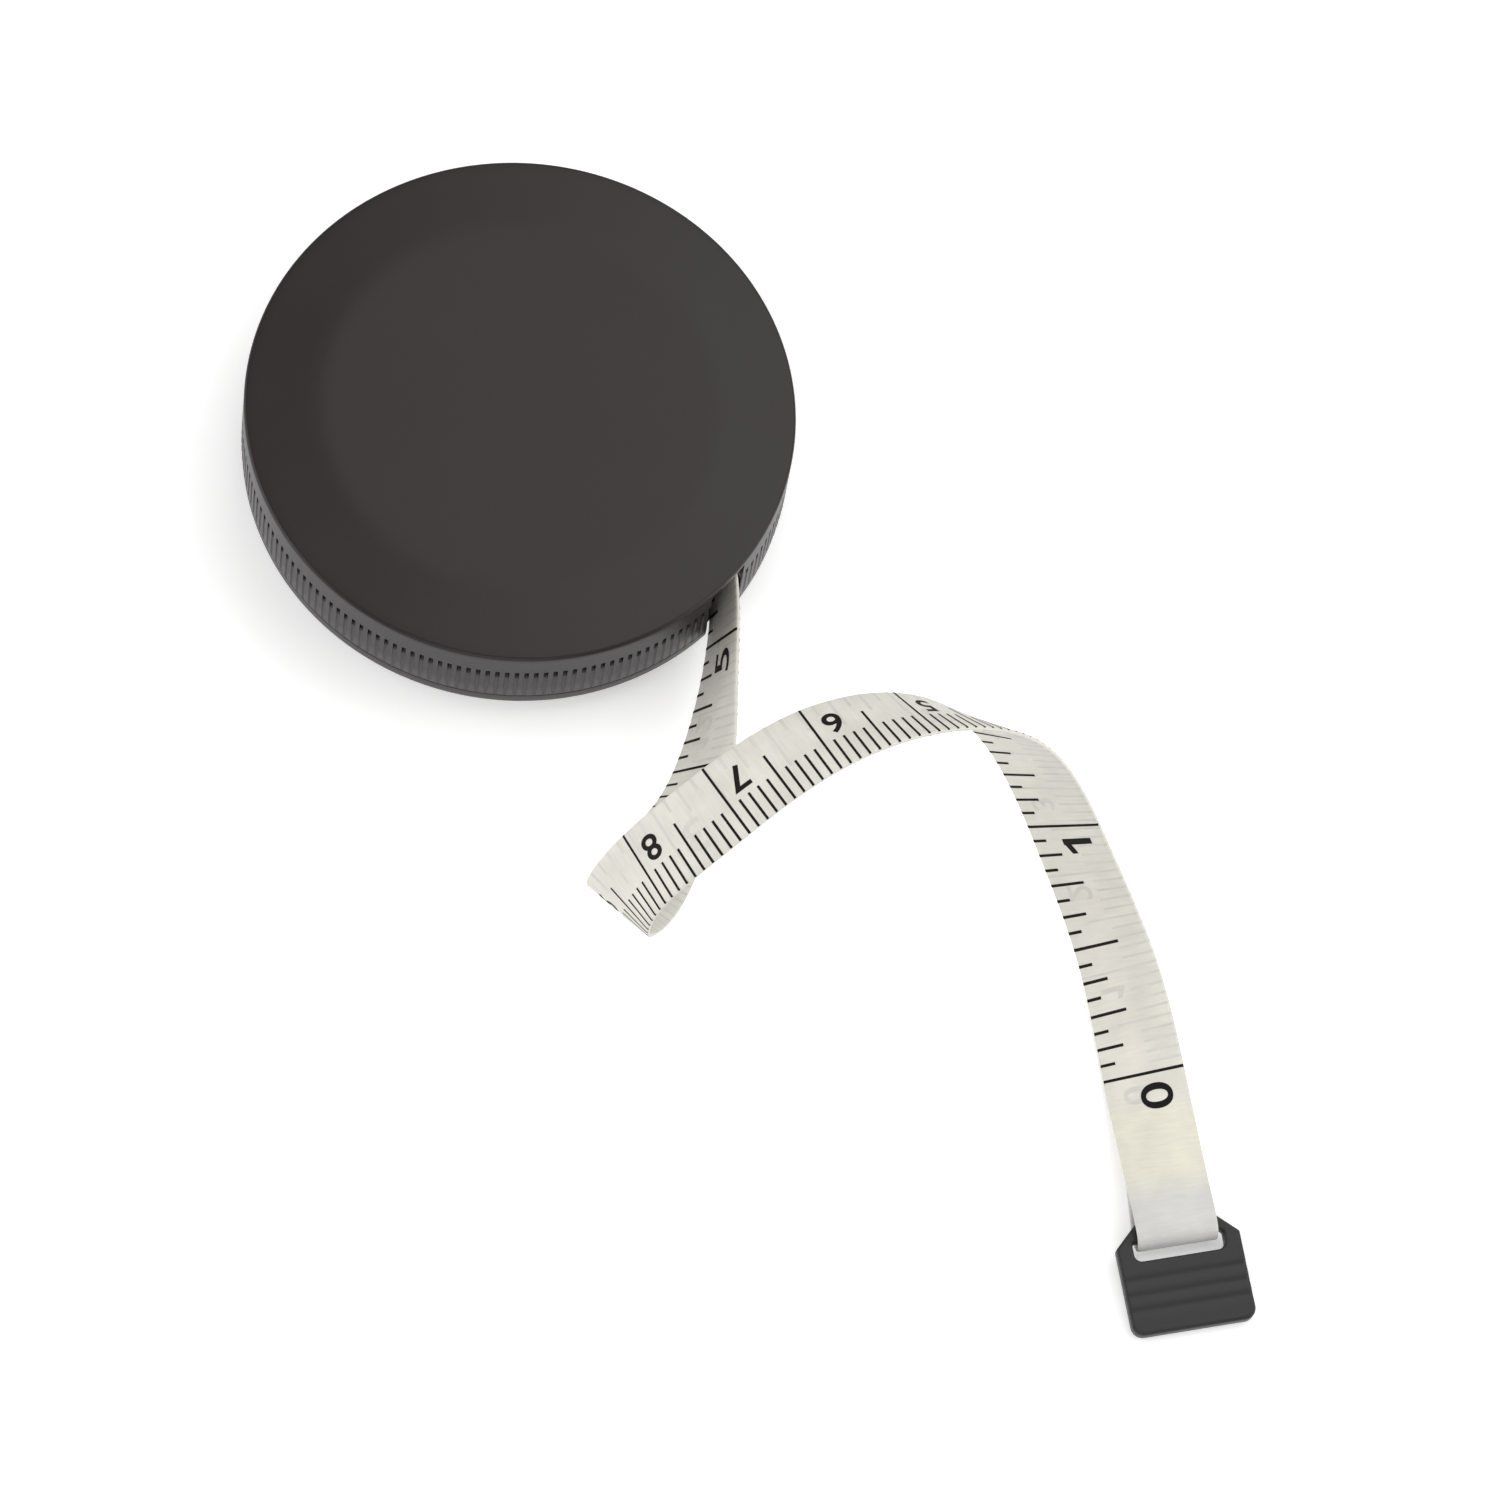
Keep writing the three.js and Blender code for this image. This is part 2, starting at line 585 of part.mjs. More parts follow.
// Lining glued to the free end of the lever
const padEnd = PIVOT_ANGLE + LEVER_SPAN;
const padPlan = sectorShape(
  leverOuter + PAD_BOND,
  drumR - PAD_GAP,
  padEnd - PAD_SPAN,
  padEnd,
);
addPiece('brake_pad', plate(padPlan, leverZ, leverTop), lining);

// Pin in the boss of the lower shell, and the coil spring around its top
const pinBottom = FLOOR + PIN_BOSS_H - PIN_SINK + PRESS_GAP;
const pinTop = webZ - PIN_TOP_GAP;
addPiece('brake_pin', rod(PIN_R, pinBottom, pinTop, SMALL_ROUND), steel).position.set(...pivot, 0);
const brakeSpringLine = coil(
  BRAKE_SPRING_R,
  leverTop + COIL_WIRE_R + SPRING_END_GAP,
  pinTop - COIL_WIRE_R - SPRING_END_GAP,
  BRAKE_SPRING_TURNS,
);
const brakeSpring = wire(brakeSpringLine, BRAKE_SPRING_TURNS * TURN_STEPS, COIL_WIRE_R);
addPiece('brake_spring', brakeSpring, springSteel).position.set(...pivot, 0);

// Free tape: a flat strip along its route, bent and twisted as it lies
function freeTape() {
  const middle = new THREE.CatmullRomCurve3(ROUTE.map(([x, y, z]) => new THREE.Vector3(x, y, z)));
  const across = new THREE.CatmullRomCurve3(ROUTE.map((row) => new THREE.Vector3(...row.slice(3))));
  const corners = [];
  for (let i = 0; i <= TAPE_STEPS; i += 1) {
    const t = i / TAPE_STEPS;
    const at = middle.getPoint(t);
    const along = middle.getTangent(t);
    const wide = across.getPoint(t);
    wide.addScaledVector(along, -wide.dot(along)).setLength(TAPE_W / 2);
    const thick = new THREE.Vector3().crossVectors(along, wide).setLength(TAPE_T / 2);
    for (const [w, h] of [[-1, -1], [1, -1], [1, 1], [-1, 1]]) {
      const corner = at.clone().addScaledVector(wide, w).addScaledVector(thick, h);
      corners.push(...corner.toArray());
    }
  }
  const faces = [0, 1, 2, 0, 2, 3];
  const ring = 4;
  for (let i = 0; i < TAPE_STEPS; i += 1) {
    for (let k = 0; k < ring; k += 1) {
      const a = i * ring + k;
      const b = i * ring + ((k + 1) % ring);
      faces.push(a, a + ring, b, b, a + ring, b + ring);
    }
  }
  const end = TAPE_STEPS * ring;
  faces.push(end, end + 2, end + 1, end, end + 3, end + 2);
  const strip = new THREE.BufferGeometry();
  strip.setAttribute('position', new THREE.Float32BufferAttribute(corners, 3));
  strip.setIndex(faces);
  return strip;
}
addPiece('tape_strip', freeTape(), tapeCloth);

// The end of the tape and the tab share one frame: X along the tab, Y across it, Z up through the bar
const loopR = Math.hypot(TAB_BAR, TAB_T) / 2 - TAB_BAR_ROUND / 2 + LOOP_GAP + TAPE_T / 2;
const barZ = loopR + TAPE_T / 2 + TABLE_GAP;
const tapeEnd = new THREE.Group();
tapeEnd.position.set(TAB_X, TAB_Y, barZ);
tapeEnd.rotation.z = rad(TAB_HEADING);
tool.add(tapeEnd);

// Turned end of the tape: over the bar, down through the opening and back under the tape
function turnedEnd() {
  const line = [
    [-LOOP_LEAD, loopR],
    ...quarter(0, 0, loopR, 90, 0),
    ...quarter(0, 0, loopR, 0, -90).slice(1),
    [-FLAP_L / 3, FLAP_RISE / 5 - loopR],
    [(-2 * FLAP_L) / 3, FLAP_RISE / 2 - loopR],
    [-FLAP_L, FLAP_RISE - loopR],
  ];
  return plate(stripShape(line, TAPE_T), -TAPE_W / 2, TAPE_W / 2).rotateX(Math.PI / 2);
}
addPiece('tape_fold', turnedEnd(), tapeCloth, tapeEnd);

// Pull tab: a flat plate with a bar, an opening for the tape and finger ribs
function pullTab() {
  const back = -TAB_BAR / 2;
  const front = back + TAB_L;
  const side = TAB_W / 2;
  const shoulder = side - TAB_SHOULDER_W;
  const plan = new THREE.Shape();
  plan.moveTo(back, -shoulder);
  plan.lineTo(back + TAB_SHOULDER_L, -side);
  plan.lineTo(front - TAB_CORNER_R, -side);
  plan.absarc(front - TAB_CORNER_R, TAB_CORNER_R - side, TAB_CORNER_R, -Math.PI / 2, 0, false);
  plan.lineTo(front, side - TAB_CORNER_R);
  plan.absarc(front - TAB_CORNER_R, side - TAB_CORNER_R, TAB_CORNER_R, 0, Math.PI / 2, false);
  plan.lineTo(back + TAB_SHOULDER_L, side);
  plan.lineTo(back, shoulder);
  plan.closePath();
  const settings = { depth: TAB_T, bevelEnabled: false, curveSegments: ARC_STEPS };
  let body = solid(new THREE.ExtrudeGeometry(plan, settings).translate(0, 0, -TAB_T / 2));
  const slotL = loopR + TAPE_T / 2 + TAB_SLOT_ROOM - TAB_BAR / 2;
  const across = TAPE_W + 2 * TAB_SLOT_SIDE;
  const opening = new THREE.BoxGeometry(slotL, across, 2 * TAB_T);
  body = body.subtract(solid(opening.translate(TAB_BAR / 2 + slotL / 2, 0, 0)));
  // The bar keeps a rounded section between the two shoulders.
  const blank = solid(new THREE.BoxGeometry(TAB_BAR * 2, across, TAB_T * 2).translate(-TAB_BAR / 2, 0, 0));
  const section = new THREE.Shape();
  const halfBar = TAB_BAR / 2 - TAB_BAR_ROUND;
  const halfT = TAB_T / 2 - TAB_BAR_ROUND;
  section.absarc(halfBar, halfT, TAB_BAR_ROUND, 0, Math.PI / 2, false);
  section.absarc(-halfBar, halfT, TAB_BAR_ROUND, Math.PI / 2, Math.PI, false);
  section.absarc(-halfBar, -halfT, TAB_BAR_ROUND, Math.PI, 1.5 * Math.PI, false);
  section.absarc(halfBar, -halfT, TAB_BAR_ROUND, 1.5 * Math.PI, 2 * Math.PI, false);
  const bar = new THREE.ExtrudeGeometry(section, {
    depth: across + 2 * TAB_BAR_ROUND,
    bevelEnabled: false,
    curveSegments: ARC_STEPS,
  });
  bar.translate(0, 0, -across / 2 - TAB_BAR_ROUND).rotateX(Math.PI / 2);
  body = body.subtract(blank).add(solid(bar));
  const ribL = TAB_W - 2 * RIB_INSET;
  for (let i = 0; i < TAB_RIBS; i += 1) {
    const rib = new THREE.BoxGeometry(RIB_W, ribL, 2 * RIB_H);
    rib.translate(front - RIB_INSET - i * RIB_PITCH, 0, TAB_T / 2);
    body = body.add(solid(rib));
  }
  return geometryOf(body);
}
const tab = addPiece('end_tab', pullTab(), tabPlastic, tapeEnd);

// The free end of the tab leans down on the table.
tab.rotation.y = Math.asin((barZ - TAB_T / 2 - TABLE_GAP) / (TAB_L - TAB_BAR / 2));

export default tool;
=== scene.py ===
import json
import bmesh
import bpy
import numpy as np
from mathutils import Matrix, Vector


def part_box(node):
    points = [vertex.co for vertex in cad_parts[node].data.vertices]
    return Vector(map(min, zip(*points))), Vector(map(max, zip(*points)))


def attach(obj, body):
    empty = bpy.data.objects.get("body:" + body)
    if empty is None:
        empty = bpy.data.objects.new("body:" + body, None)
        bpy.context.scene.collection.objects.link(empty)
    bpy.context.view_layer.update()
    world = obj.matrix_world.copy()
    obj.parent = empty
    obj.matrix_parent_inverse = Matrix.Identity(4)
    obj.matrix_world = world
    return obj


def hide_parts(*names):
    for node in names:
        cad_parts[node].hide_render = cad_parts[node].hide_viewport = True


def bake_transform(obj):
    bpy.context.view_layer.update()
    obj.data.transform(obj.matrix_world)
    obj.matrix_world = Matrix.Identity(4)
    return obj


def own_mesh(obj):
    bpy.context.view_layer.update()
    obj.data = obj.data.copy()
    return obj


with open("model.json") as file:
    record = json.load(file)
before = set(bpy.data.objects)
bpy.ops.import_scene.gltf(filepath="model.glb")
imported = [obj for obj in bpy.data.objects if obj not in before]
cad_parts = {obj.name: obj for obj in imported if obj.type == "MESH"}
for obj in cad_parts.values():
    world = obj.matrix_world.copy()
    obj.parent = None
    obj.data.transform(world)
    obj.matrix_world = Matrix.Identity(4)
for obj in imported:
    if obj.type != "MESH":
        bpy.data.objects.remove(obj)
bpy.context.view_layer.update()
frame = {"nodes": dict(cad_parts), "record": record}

# Table, light and camera.
# A plain white table under soft studio light: large boxes overhead and in front, one on each side.
# The camera looks down from in front with a long lens, a little rolled, as a hand-held picture is.
MM = 0.001
ELEVATION = np.radians(66.1)
ROLL = np.radians(11.7)
EYE = (27.1 * MM, -342.1 * MM, 718.3 * MM)
LENS = 204.2
SENSOR_W = 36
NEAREST = 0.01
WORLD_TINT = (1, 0.99, 0.98, 1)
WORLD_STRENGTH = 0.36
TABLE_HALF = 1.5
TABLE_DROP = 0.02 * MM
TABLE_WHITE = (0.9, 0.9, 0.9, 1)
TABLE_GLOW = 0.35
scene = bpy.context.scene
scene.view_settings.view_transform = "Standard"


def stood_at(place, side, rise, back):
    """A placement as a four by four matrix: three square unit axes and the place are its columns."""
    stand = np.eye(4)
    stand[:3, 0], stand[:3, 1], stand[:3, 2], stand[:3, 3] = side, rise, back, place
    return Matrix(stand.tolist())


back = np.array([0, -np.cos(ELEVATION), np.sin(ELEVATION)])
level_right = np.array([1.0, 0, 0])
level_up = np.cross(back, level_right)
right = np.cos(ROLL) * level_right + np.sin(ROLL) * level_up
up = np.cos(ROLL) * level_up - np.sin(ROLL) * level_right
lens = bpy.data.cameras.new("photo_camera")
lens.sensor_width = SENSOR_W
lens.lens = LENS
lens.clip_start = NEAREST
camera = bpy.data.objects.new("photo_camera", lens)
camera.matrix_world = stood_at(EYE, right, up, back)
scene.collection.objects.link(camera)
scene.camera = camera

world = bpy.data.worlds.new("studio")
world.use_nodes = True
sky = world.node_tree.nodes["Background"]
sky.inputs["Color"].default_value = WORLD_TINT
sky.inputs["Strength"].default_value = WORLD_STRENGTH
scene.world = world


def softbox(name, place, aim, size, watts):
    """A rectangular lamp at a place in metres, facing the aim point."""
    lamp = bpy.data.lights.new(name, "AREA")
    lamp.shape = "RECTANGLE"
    lamp.size, lamp.size_y = size
    lamp.energy = watts
    box = bpy.data.objects.new(name, lamp)
    away = np.subtract(place, aim)
    away = away / np.linalg.norm(away)
    side = np.cross([0, 1, 0.001], away)
    side /= np.linalg.norm(side)
    box.matrix_world = stood_at(place, side, np.cross(away, side), away)
    scene.collection.objects.link(box)


softbox("overhead", (0.34, 0.4, 0.85), (0.02, -0.02, 0), (1, 0.9), 4.9)
softbox("left_side", (-0.7, -0.15, 0.3), (0, 0, 0.01), (0.5, 0.7), 2.8)
softbox("right_side", (0.7, -0.05, 0.3), (0, 0, 0.01), (0.4, 0.6), 1.7)
softbox("front", (0.05, -0.8, 0.5), (0.02, -0.02, 0), (0.8, 0.5), 2.3)

table_mesh = bpy.data.meshes.new("table")
corner = np.array([[-1, -1, 0], [1, -1, 0], [1, 1, 0], [-1, 1, 0]]) * TABLE_HALF
table_mesh.from_pydata(corner - [0, 0, TABLE_DROP], [], [(0, 1, 2, 3)])
table = bpy.data.objects.new("table", table_mesh)
scene.collection.objects.link(table)
table_paint = bpy.data.materials.new("table_paint")
table_paint.use_nodes = True
nodes, links = table_paint.node_tree.nodes, table_paint.node_tree.links
paint = nodes["Principled BSDF"]
paint.inputs["Base Color"].default_value = TABLE_WHITE
paint.inputs["Roughness"].default_value = 0.9
paint.inputs["Specular IOR Level"].default_value = 0.1
ray = nodes.new("ShaderNodeLightPath")
seen = nodes.new("ShaderNodeMath")
seen.operation = "MAXIMUM"
seen_too = nodes.new("ShaderNodeMath")
seen_too.operation = "MAXIMUM"
links.new(ray.outputs["Is Camera Ray"], seen.inputs[0])
links.new(ray.outputs["Is Glossy Ray"], seen.inputs[1])
links.new(seen.outputs[0], seen_too.inputs[0])
links.new(ray.outputs["Is Transmission Ray"], seen_too.inputs[1])
glow = nodes.new("ShaderNodeMath")
glow.operation = "MULTIPLY"
glow.inputs[1].default_value = TABLE_GLOW
links.new(seen_too.outputs[0], glow.inputs[0])
links.new(glow.outputs[0], paint.inputs["Emission Strength"])
paint.inputs["Emission Color"].default_value = (1, 1, 1, 1)
table_mesh.materials.append(table_paint)

# Upper shell.
# One moulding of matte black plastic: a plain round face that falls a little towards its edge, a smooth
# band and a rim of fine upright grooves, deepest at their round tops, with a mouth cut for the tape.
CASE_R = 25.5 * MM
CASE_H = frame["record"]["mounts"][1]["pos_m"][2]
FACE_FLAT_R = 17.4 * MM
FACE_BEND = 2.2 * MM
FACE_SLOPE = 0.09
FACE_EDGE = 0.35 * MM
FACE_RINGS = np.array([0, 6, 12]) * MM
FACE_FINE_R = 16.5 * MM
FACE_FINE_RINGS = 12
EDGE_STEPS = 6
BAND_H = 3.5 * MM
PART_Z = 4.1 * MM
RIM_Z = 3.8 * MM
SEAM_IN = 0.1 * MM
SEAM_GAP = 0.05 * MM
ROOF_Z = 11.2 * MM
WALL = 1.4 * MM
BOSS_R = 4.5 * MM
BOSS_H = 0.8 * MM
BORE_R = 2.25 * MM
BORE_TOP = 12 * MM
GROOVES = 180
GROOVE_DEPTH = 0.72 * MM
GROOVE_FOOT = 0.1 * MM
GROOVE_DEEP = 0.55 * MM
GROOVE_FADE = 0.85 * MM
GROOVE_ROUND = 0.2 * MM
GROOVE_SHARE = 0.46
GROOVE_ABOVE = 0.1 * MM
GROOVE_ROWS = np.array([0, 0.04, 0.1, 0.2, 0.35, 0.55, 0.7, 0.85, 1, 1.15, 1.3, 1.45, 3]) * MM
GROOVE_COLUMNS = np.array([0, 0.25, 0.27, 0.31, 0.37, 0.45, 0.55, 0.63, 0.69, 0.73, 0.75])
SLOT_ANGLE = np.radians(-30)
SLOT_HEADING = np.radians(-78)
SLOT_W = 3 * MM
SLOT_DEPTH = 4 * MM
SLOT_EASE = 0.6
WELD = 0.0002 * MM
SMOOTH_BELOW = 35
NEAR_AXIS = 0.1 * MM


def mouth_angle(radius, side):
    """Angle at which one side of the mouth, a straight line along the tape, crosses a circle."""
    middle = CASE_R * np.array([np.cos(SLOT_ANGLE), np.sin(SLOT_ANGLE)])
    heading = np.array([np.cos(SLOT_HEADING), np.sin(SLOT_HEADING)])
    start = middle + side * SLOT_W / 2 * np.array([-heading[1], heading[0]])
    along = -start @ heading + np.sqrt((start @ heading) ** 2 - start @ start + radius**2)
    point = start + along * heading
    return np.arctan2(point[1], point[0])


def shell_grid(rows, angles, cut_from, cut_to):
    """Profile rows of (radius, height) turned about Z, as an array of rows by columns by three.

    Each row's angles are stretched so that the mouth's two sides stay straight and parallel. Columns
    inside the mouth skip the rows between cut_from and cut_to: those rows run straight across from
    one to the other, which makes the mouth's sill or lintel and, between doubled columns, its sides.
    """
    rows = np.asarray(rows)
    low, high = mouth_angle(CASE_R, -1), mouth_angle(CASE_R, 1)
    left = angles[angles < low]
    inside = angles[(angles > low) & (angles < high)]
    rest = angles[angles > high]
    base = np.concatenate([left, [low, low], inside, [high, high], rest])
    in_mouth = np.zeros(len(base), bool)
    in_mouth[len(left) + 1:len(left) + 3 + len(inside)] = True
    knots = np.array([-np.pi, low - SLOT_EASE, low, high, high + SLOT_EASE, np.pi])
    radius = np.maximum(rows[:, 0], CASE_R - SLOT_DEPTH)
    sides = np.array([[mouth_angle(r, -1), mouth_angle(r, 1)] for r in radius])
    bent = np.array([np.interp(base, knots, [*knots[:2], a, b, *knots[4:]]) for a, b in sides])
    grid = np.empty((len(rows), len(base), 3))
    grid[..., 0] = rows[:, 0, None] * np.cos(bent)
    grid[..., 1] = rows[:, 0, None] * np.sin(bent)
    grid[..., 2] = rows[:, 1, None]
    share = np.linspace(0, 1, cut_to - cut_from + 1)[:, None, None]
    across = (1 - share) * grid[cut_from, in_mouth] + share * grid[cut_to, in_mouth]
    return grid, base, in_mouth, across


def grid_quads(rows, columns, wrap_rows=False, wrap_columns=False):
    """Four-corner faces of a grid of points counted row by row, closed round where asked."""
    i = np.arange(rows if wrap_rows else rows - 1)[:, None]
    j = np.arange(columns if wrap_columns else columns - 1)[None, :]
    i2, j2 = (i + 1) % rows, (j + 1) % columns
    corners = [i * columns + j, i * columns + j2, i2 * columns + j2, i2 * columns + j]
    return np.stack([np.broadcast_to(c, np.broadcast(i, j).shape).ravel() for c in corners], axis=1)


def welded_mesh(name, points, quads, material, smooth_below=SMOOTH_BELOW):
    """A mesh whose corners at one place become one, with collapsed faces dropped or made triangles.

    Edges between faces that meet at less than smooth_below, in degrees, are shaded smooth.
    """
    cells = np.round(points / WELD).astype(np.int64)
    _, first, where = np.unique(cells, axis=0, return_index=True, return_inverse=True)
    faces = where.reshape(-1)[quads]
    same = faces == np.roll(faces, -1, axis=1)
    crossed = (faces[:, 0] == faces[:, 2]) | (faces[:, 1] == faces[:, 3])
    whole = faces[(same.sum(axis=1) == 0) & ~crossed]
    folded = (same.sum(axis=1) == 1) & ~crossed
    thirds = faces[folded][~same[folded]].reshape(-1, 3)
    mesh = bpy.data.meshes.new(name)
    mesh.from_pydata(points[first].tolist(), [], whole.tolist() + thirds.tolist())
    mesh.polygons.foreach_set("use_smooth", np.ones(len(mesh.polygons), bool))
    mesh.set_sharp_from_angle(angle=np.radians(smooth_below))
    mesh.materials.append(material)
    mesh.update()
    piece = bpy.data.objects.new(name, mesh)
    scene.collection.objects.link(piece)
    return piece, first


def moulded_grain():
    """Node group for moulded plastic: a cloudy share for the colour, one for the gloss, and a normal."""
    group = bpy.data.node_groups.new("moulded_grain", "ShaderNodeTree")
    sockets = group.interface
    sockets.new_socket("Colour A", in_out="INPUT", socket_type="NodeSocketColor")
    sockets.new_socket("Colour B", in_out="INPUT", socket_type="NodeSocketColor")
    sockets.new_socket("Roughness", in_out="INPUT", socket_type="NodeSocketFloat")
    sockets.new_socket("Grain", in_out="INPUT", socket_type="NodeSocketFloat")
    sockets.new_socket("Colour", in_out="OUTPUT", socket_type="NodeSocketColor")
    sockets.new_socket("Roughness", in_out="OUTPUT", socket_type="NodeSocketFloat")
    sockets.new_socket("Normal", in_out="OUTPUT", socket_type="NodeSocketVector")
    nodes, links = group.nodes, group.links
    given, made = nodes.new("NodeGroupInput"), nodes.new("NodeGroupOutput")
    place = nodes.new("ShaderNodeTexCoord")
    cloud = nodes.new("ShaderNodeTexNoise")
    cloud.inputs["Scale"].default_value = 90
    cloud.inputs["Detail"].default_value = 3
    speck = nodes.new("ShaderNodeTexNoise")
    speck.inputs["Scale"].default_value = 3800
    speck.inputs["Detail"].default_value = 2
    links.new(place.outputs["Object"], cloud.inputs["Vector"])
    links.new(place.outputs["Object"], speck.inputs["Vector"])
    colour = nodes.new("ShaderNodeMix")
    colour.data_type = "RGBA"
    links.new(cloud.outputs["Fac"], colour.inputs["Factor"])
    links.new(given.outputs["Colour A"], colour.inputs["A"])
    links.new(given.outputs["Colour B"], colour.inputs["B"])
    links.new(colour.outputs["Result"], made.inputs["Colour"])
    spread = nodes.new("ShaderNodeMath")
    spread.operation = "MULTIPLY_ADD"
    spread.inputs[1].default_value = 0.1
    links.new(cloud.outputs["Fac"], spread.inputs[0])
    links.new(given.outputs["Roughness"], spread.inputs[2])
    links.new(spread.outputs[0], made.inputs["Roughness"])
    bump = nodes.new("ShaderNodeBump")
    bump.inputs["Distance"].default_value = 0.02 * MM
    links.new(given.outputs["Grain"], bump.inputs["Strength"])
    links.new(speck.outputs["Fac"], bump.inputs["Height"])
    links.new(bump.outputs["Normal"], made.inputs["Normal"])
    return group


grain_group = moulded_grain()
PLAIN_SPECULAR = 0.5


def moulded_plastic(name, dark, light, roughness, grain, specular=PLAIN_SPECULAR):
    """Matte moulded plastic between two close colours, with a fine grain."""
    material = bpy.data.materials.new(name)
    material.use_nodes = True
    nodes, links = material.node_tree.nodes, material.node_tree.links
    grained = nodes.new("ShaderNodeGroup")
    grained.node_tree = grain_group
    grained.inputs["Colour A"].default_value = (*dark, 1)
    grained.inputs["Colour B"].default_value = (*light, 1)
    grained.inputs["Roughness"].default_value = roughness
    grained.inputs["Grain"].default_value = grain
    plastic = nodes["Principled BSDF"]
    plastic.inputs["IOR"].default_value = 1.5
    plastic.inputs["Specular IOR Level"].default_value = specular
    links.new(grained.outputs["Colour"], plastic.inputs["Base Color"])
    links.new(grained.outputs["Roughness"], plastic.inputs["Roughness"])
    links.new(grained.outputs["Normal"], plastic.inputs["Normal"])
    return material


SHELL_DARK = (0.0165, 0.0118, 0.0126)
SHELL_LIGHT = (0.0215, 0.0158, 0.0166)
shell_plastic = moulded_plastic("shell_plastic", SHELL_DARK, SHELL_LIGHT, 0.3, 0.3, specular=0.3)

quarter = np.radians(np.linspace(90, 0, EDGE_STEPS))
fine_rings = np.linspace(FACE_FINE_R, CASE_R - FACE_EDGE, FACE_FINE_RINGS)
face_r = np.concatenate([FACE_RINGS, fine_rings])
bend = np.clip((face_r - FACE_FLAT_R) / FACE_BEND, 0, 1)
sloped = np.maximum(face_r - FACE_FLAT_R - FACE_BEND, 0)
fall = FACE_SLOPE * (FACE_BEND * (bend**3 - bend**4 / 2) + sloped)
edge_r = CASE_R - FACE_EDGE * (1 - np.cos(quarter))
edge_z = CASE_H - fall[-1] - FACE_EDGE * (1 - np.sin(quarter))
edge = np.stack([edge_r, edge_z], axis=1)
groove_top = CASE_H - BAND_H
groove_z = groove_top - GROOVE_ROWS
outer = np.concatenate([
    np.stack([face_r, CASE_H - fall], axis=1)[:-1],
    edge,
    [[CASE_R, ROOF_Z], [CASE_R, groove_top + GROOVE_ABOVE]],
    np.stack([np.full(len(groove_z), CASE_R), groove_z], axis=1),
    [[CASE_R, PART_Z], [CASE_R - SEAM_IN, RIM_Z + SEAM_GAP]],
])
inner = np.array([
    [CASE_R - WALL, PART_Z], [CASE_R - WALL, ROOF_Z], [CASE_R - 2 * WALL, ROOF_Z], [BOSS_R, ROOF_Z],
    [BOSS_R, ROOF_Z - BOSS_H], [BORE_R, ROOF_Z - BOSS_H], [BORE_R, BORE_TOP], [0, BORE_TOP],
])
profile = np.concatenate([outer, inner])
cut_from = len(face_r) - 1 + len(edge)
cut_to = len(outer) + 1
angles = ((np.arange(GROOVES)[:, None] + GROOVE_COLUMNS) * 2 * np.pi / GROOVES - np.pi).ravel()
grid, base, in_mouth, lintel = shell_grid(profile, angles, cut_from, cut_to)
turned = ((base + np.pi) * GROOVES / (2 * np.pi)) % 1
hollow = np.sqrt(np.clip(1 - ((turned - 0.5) / (GROOVE_SHARE / 2)) ** 2, 0, 1))
below_top = np.maximum(groove_top - profile[:, 1], 0)
fade = np.clip((below_top - GROOVE_DEEP) / GROOVE_FADE, 0, 1)
run_out = GROOVE_DEPTH + (GROOVE_FOOT - GROOVE_DEPTH) * (3 * fade**2 - 2 * fade**3)
run_out *= np.sqrt(np.minimum(below_top / GROOVE_ROUND, 1))
run_out[len(outer) - 1:] = 0
depth = run_out[:, None] * hollow[None, :]
away = np.linalg.norm(grid[..., :2], axis=2, keepdims=True)
grid[..., :2] *= 1 - depth[..., None] / np.maximum(away, NEAR_AXIS)
grid[cut_from:cut_to + 1, in_mouth] = lintel
quads = grid_quads(len(profile), len(base), wrap_columns=True)[:, ::-1]
upper_shell, _ = welded_mesh("case_upper_shell", grid.reshape(-1, 3), quads, shell_plastic)
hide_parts("upper_shell")
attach(upper_shell, "case")

# Lower shell.
# The same plastic: a smooth rim under the parting line, slanted in to a flat ring that the case stands
# on, a round hole for the push button and a ring inside that snaps into the upper shell.
HOLE_R = 8.3 * MM
HOLE_EDGE = 0.3 * MM
BASE_R = 22.2 * MM
BASE_RINGS = (12 * MM, 17 * MM)
RIM_R = 25.4 * MM
RIM_FOOT = 2.35 * MM
SILL_Z = 1.6 * MM
FLOOR_Z = 1.4 * MM
SPIGOT_R = 23.9 * MM
SPIGOT_INNER = 22.9 * MM
SPIGOT_TOP = 6.7 * MM
LOWER_COLUMNS = 360
SILL_ROW = 6
SILL_BACK_ROW = 15
sill_r = BASE_R + (RIM_R - BASE_R) * SILL_Z / RIM_FOOT
below = np.array([
    [HOLE_R + HOLE_EDGE, 0], [BASE_RINGS[0], 0], [BASE_RINGS[1], 0], [BASE_R - 0.5 * MM, 0],
    [BASE_R + 0.1 * MM, 0.12 * MM], [BASE_R + 0.55 * MM, 0.42 * MM], [sill_r, SILL_Z],
    [RIM_R - 0.3 * MM, RIM_FOOT - 0.2 * MM], [RIM_R - 0.06 * MM, RIM_FOOT + 0.1 * MM],
    [RIM_R, RIM_FOOT + 0.4 * MM], [RIM_R, RIM_Z - 0.12 * MM], [RIM_R - SEAM_IN, RIM_Z], [SPIGOT_R, RIM_Z],
    [SPIGOT_R, SPIGOT_TOP], [SPIGOT_INNER, SPIGOT_TOP], [SPIGOT_INNER, SILL_Z], [SPIGOT_INNER, FLOOR_Z],
    [BASE_RINGS[1], FLOOR_Z], [HOLE_R, FLOOR_Z], [HOLE_R, HOLE_EDGE], [HOLE_R + HOLE_EDGE, 0],
])
angles = np.linspace(-np.pi, np.pi, LOWER_COLUMNS, endpoint=False)
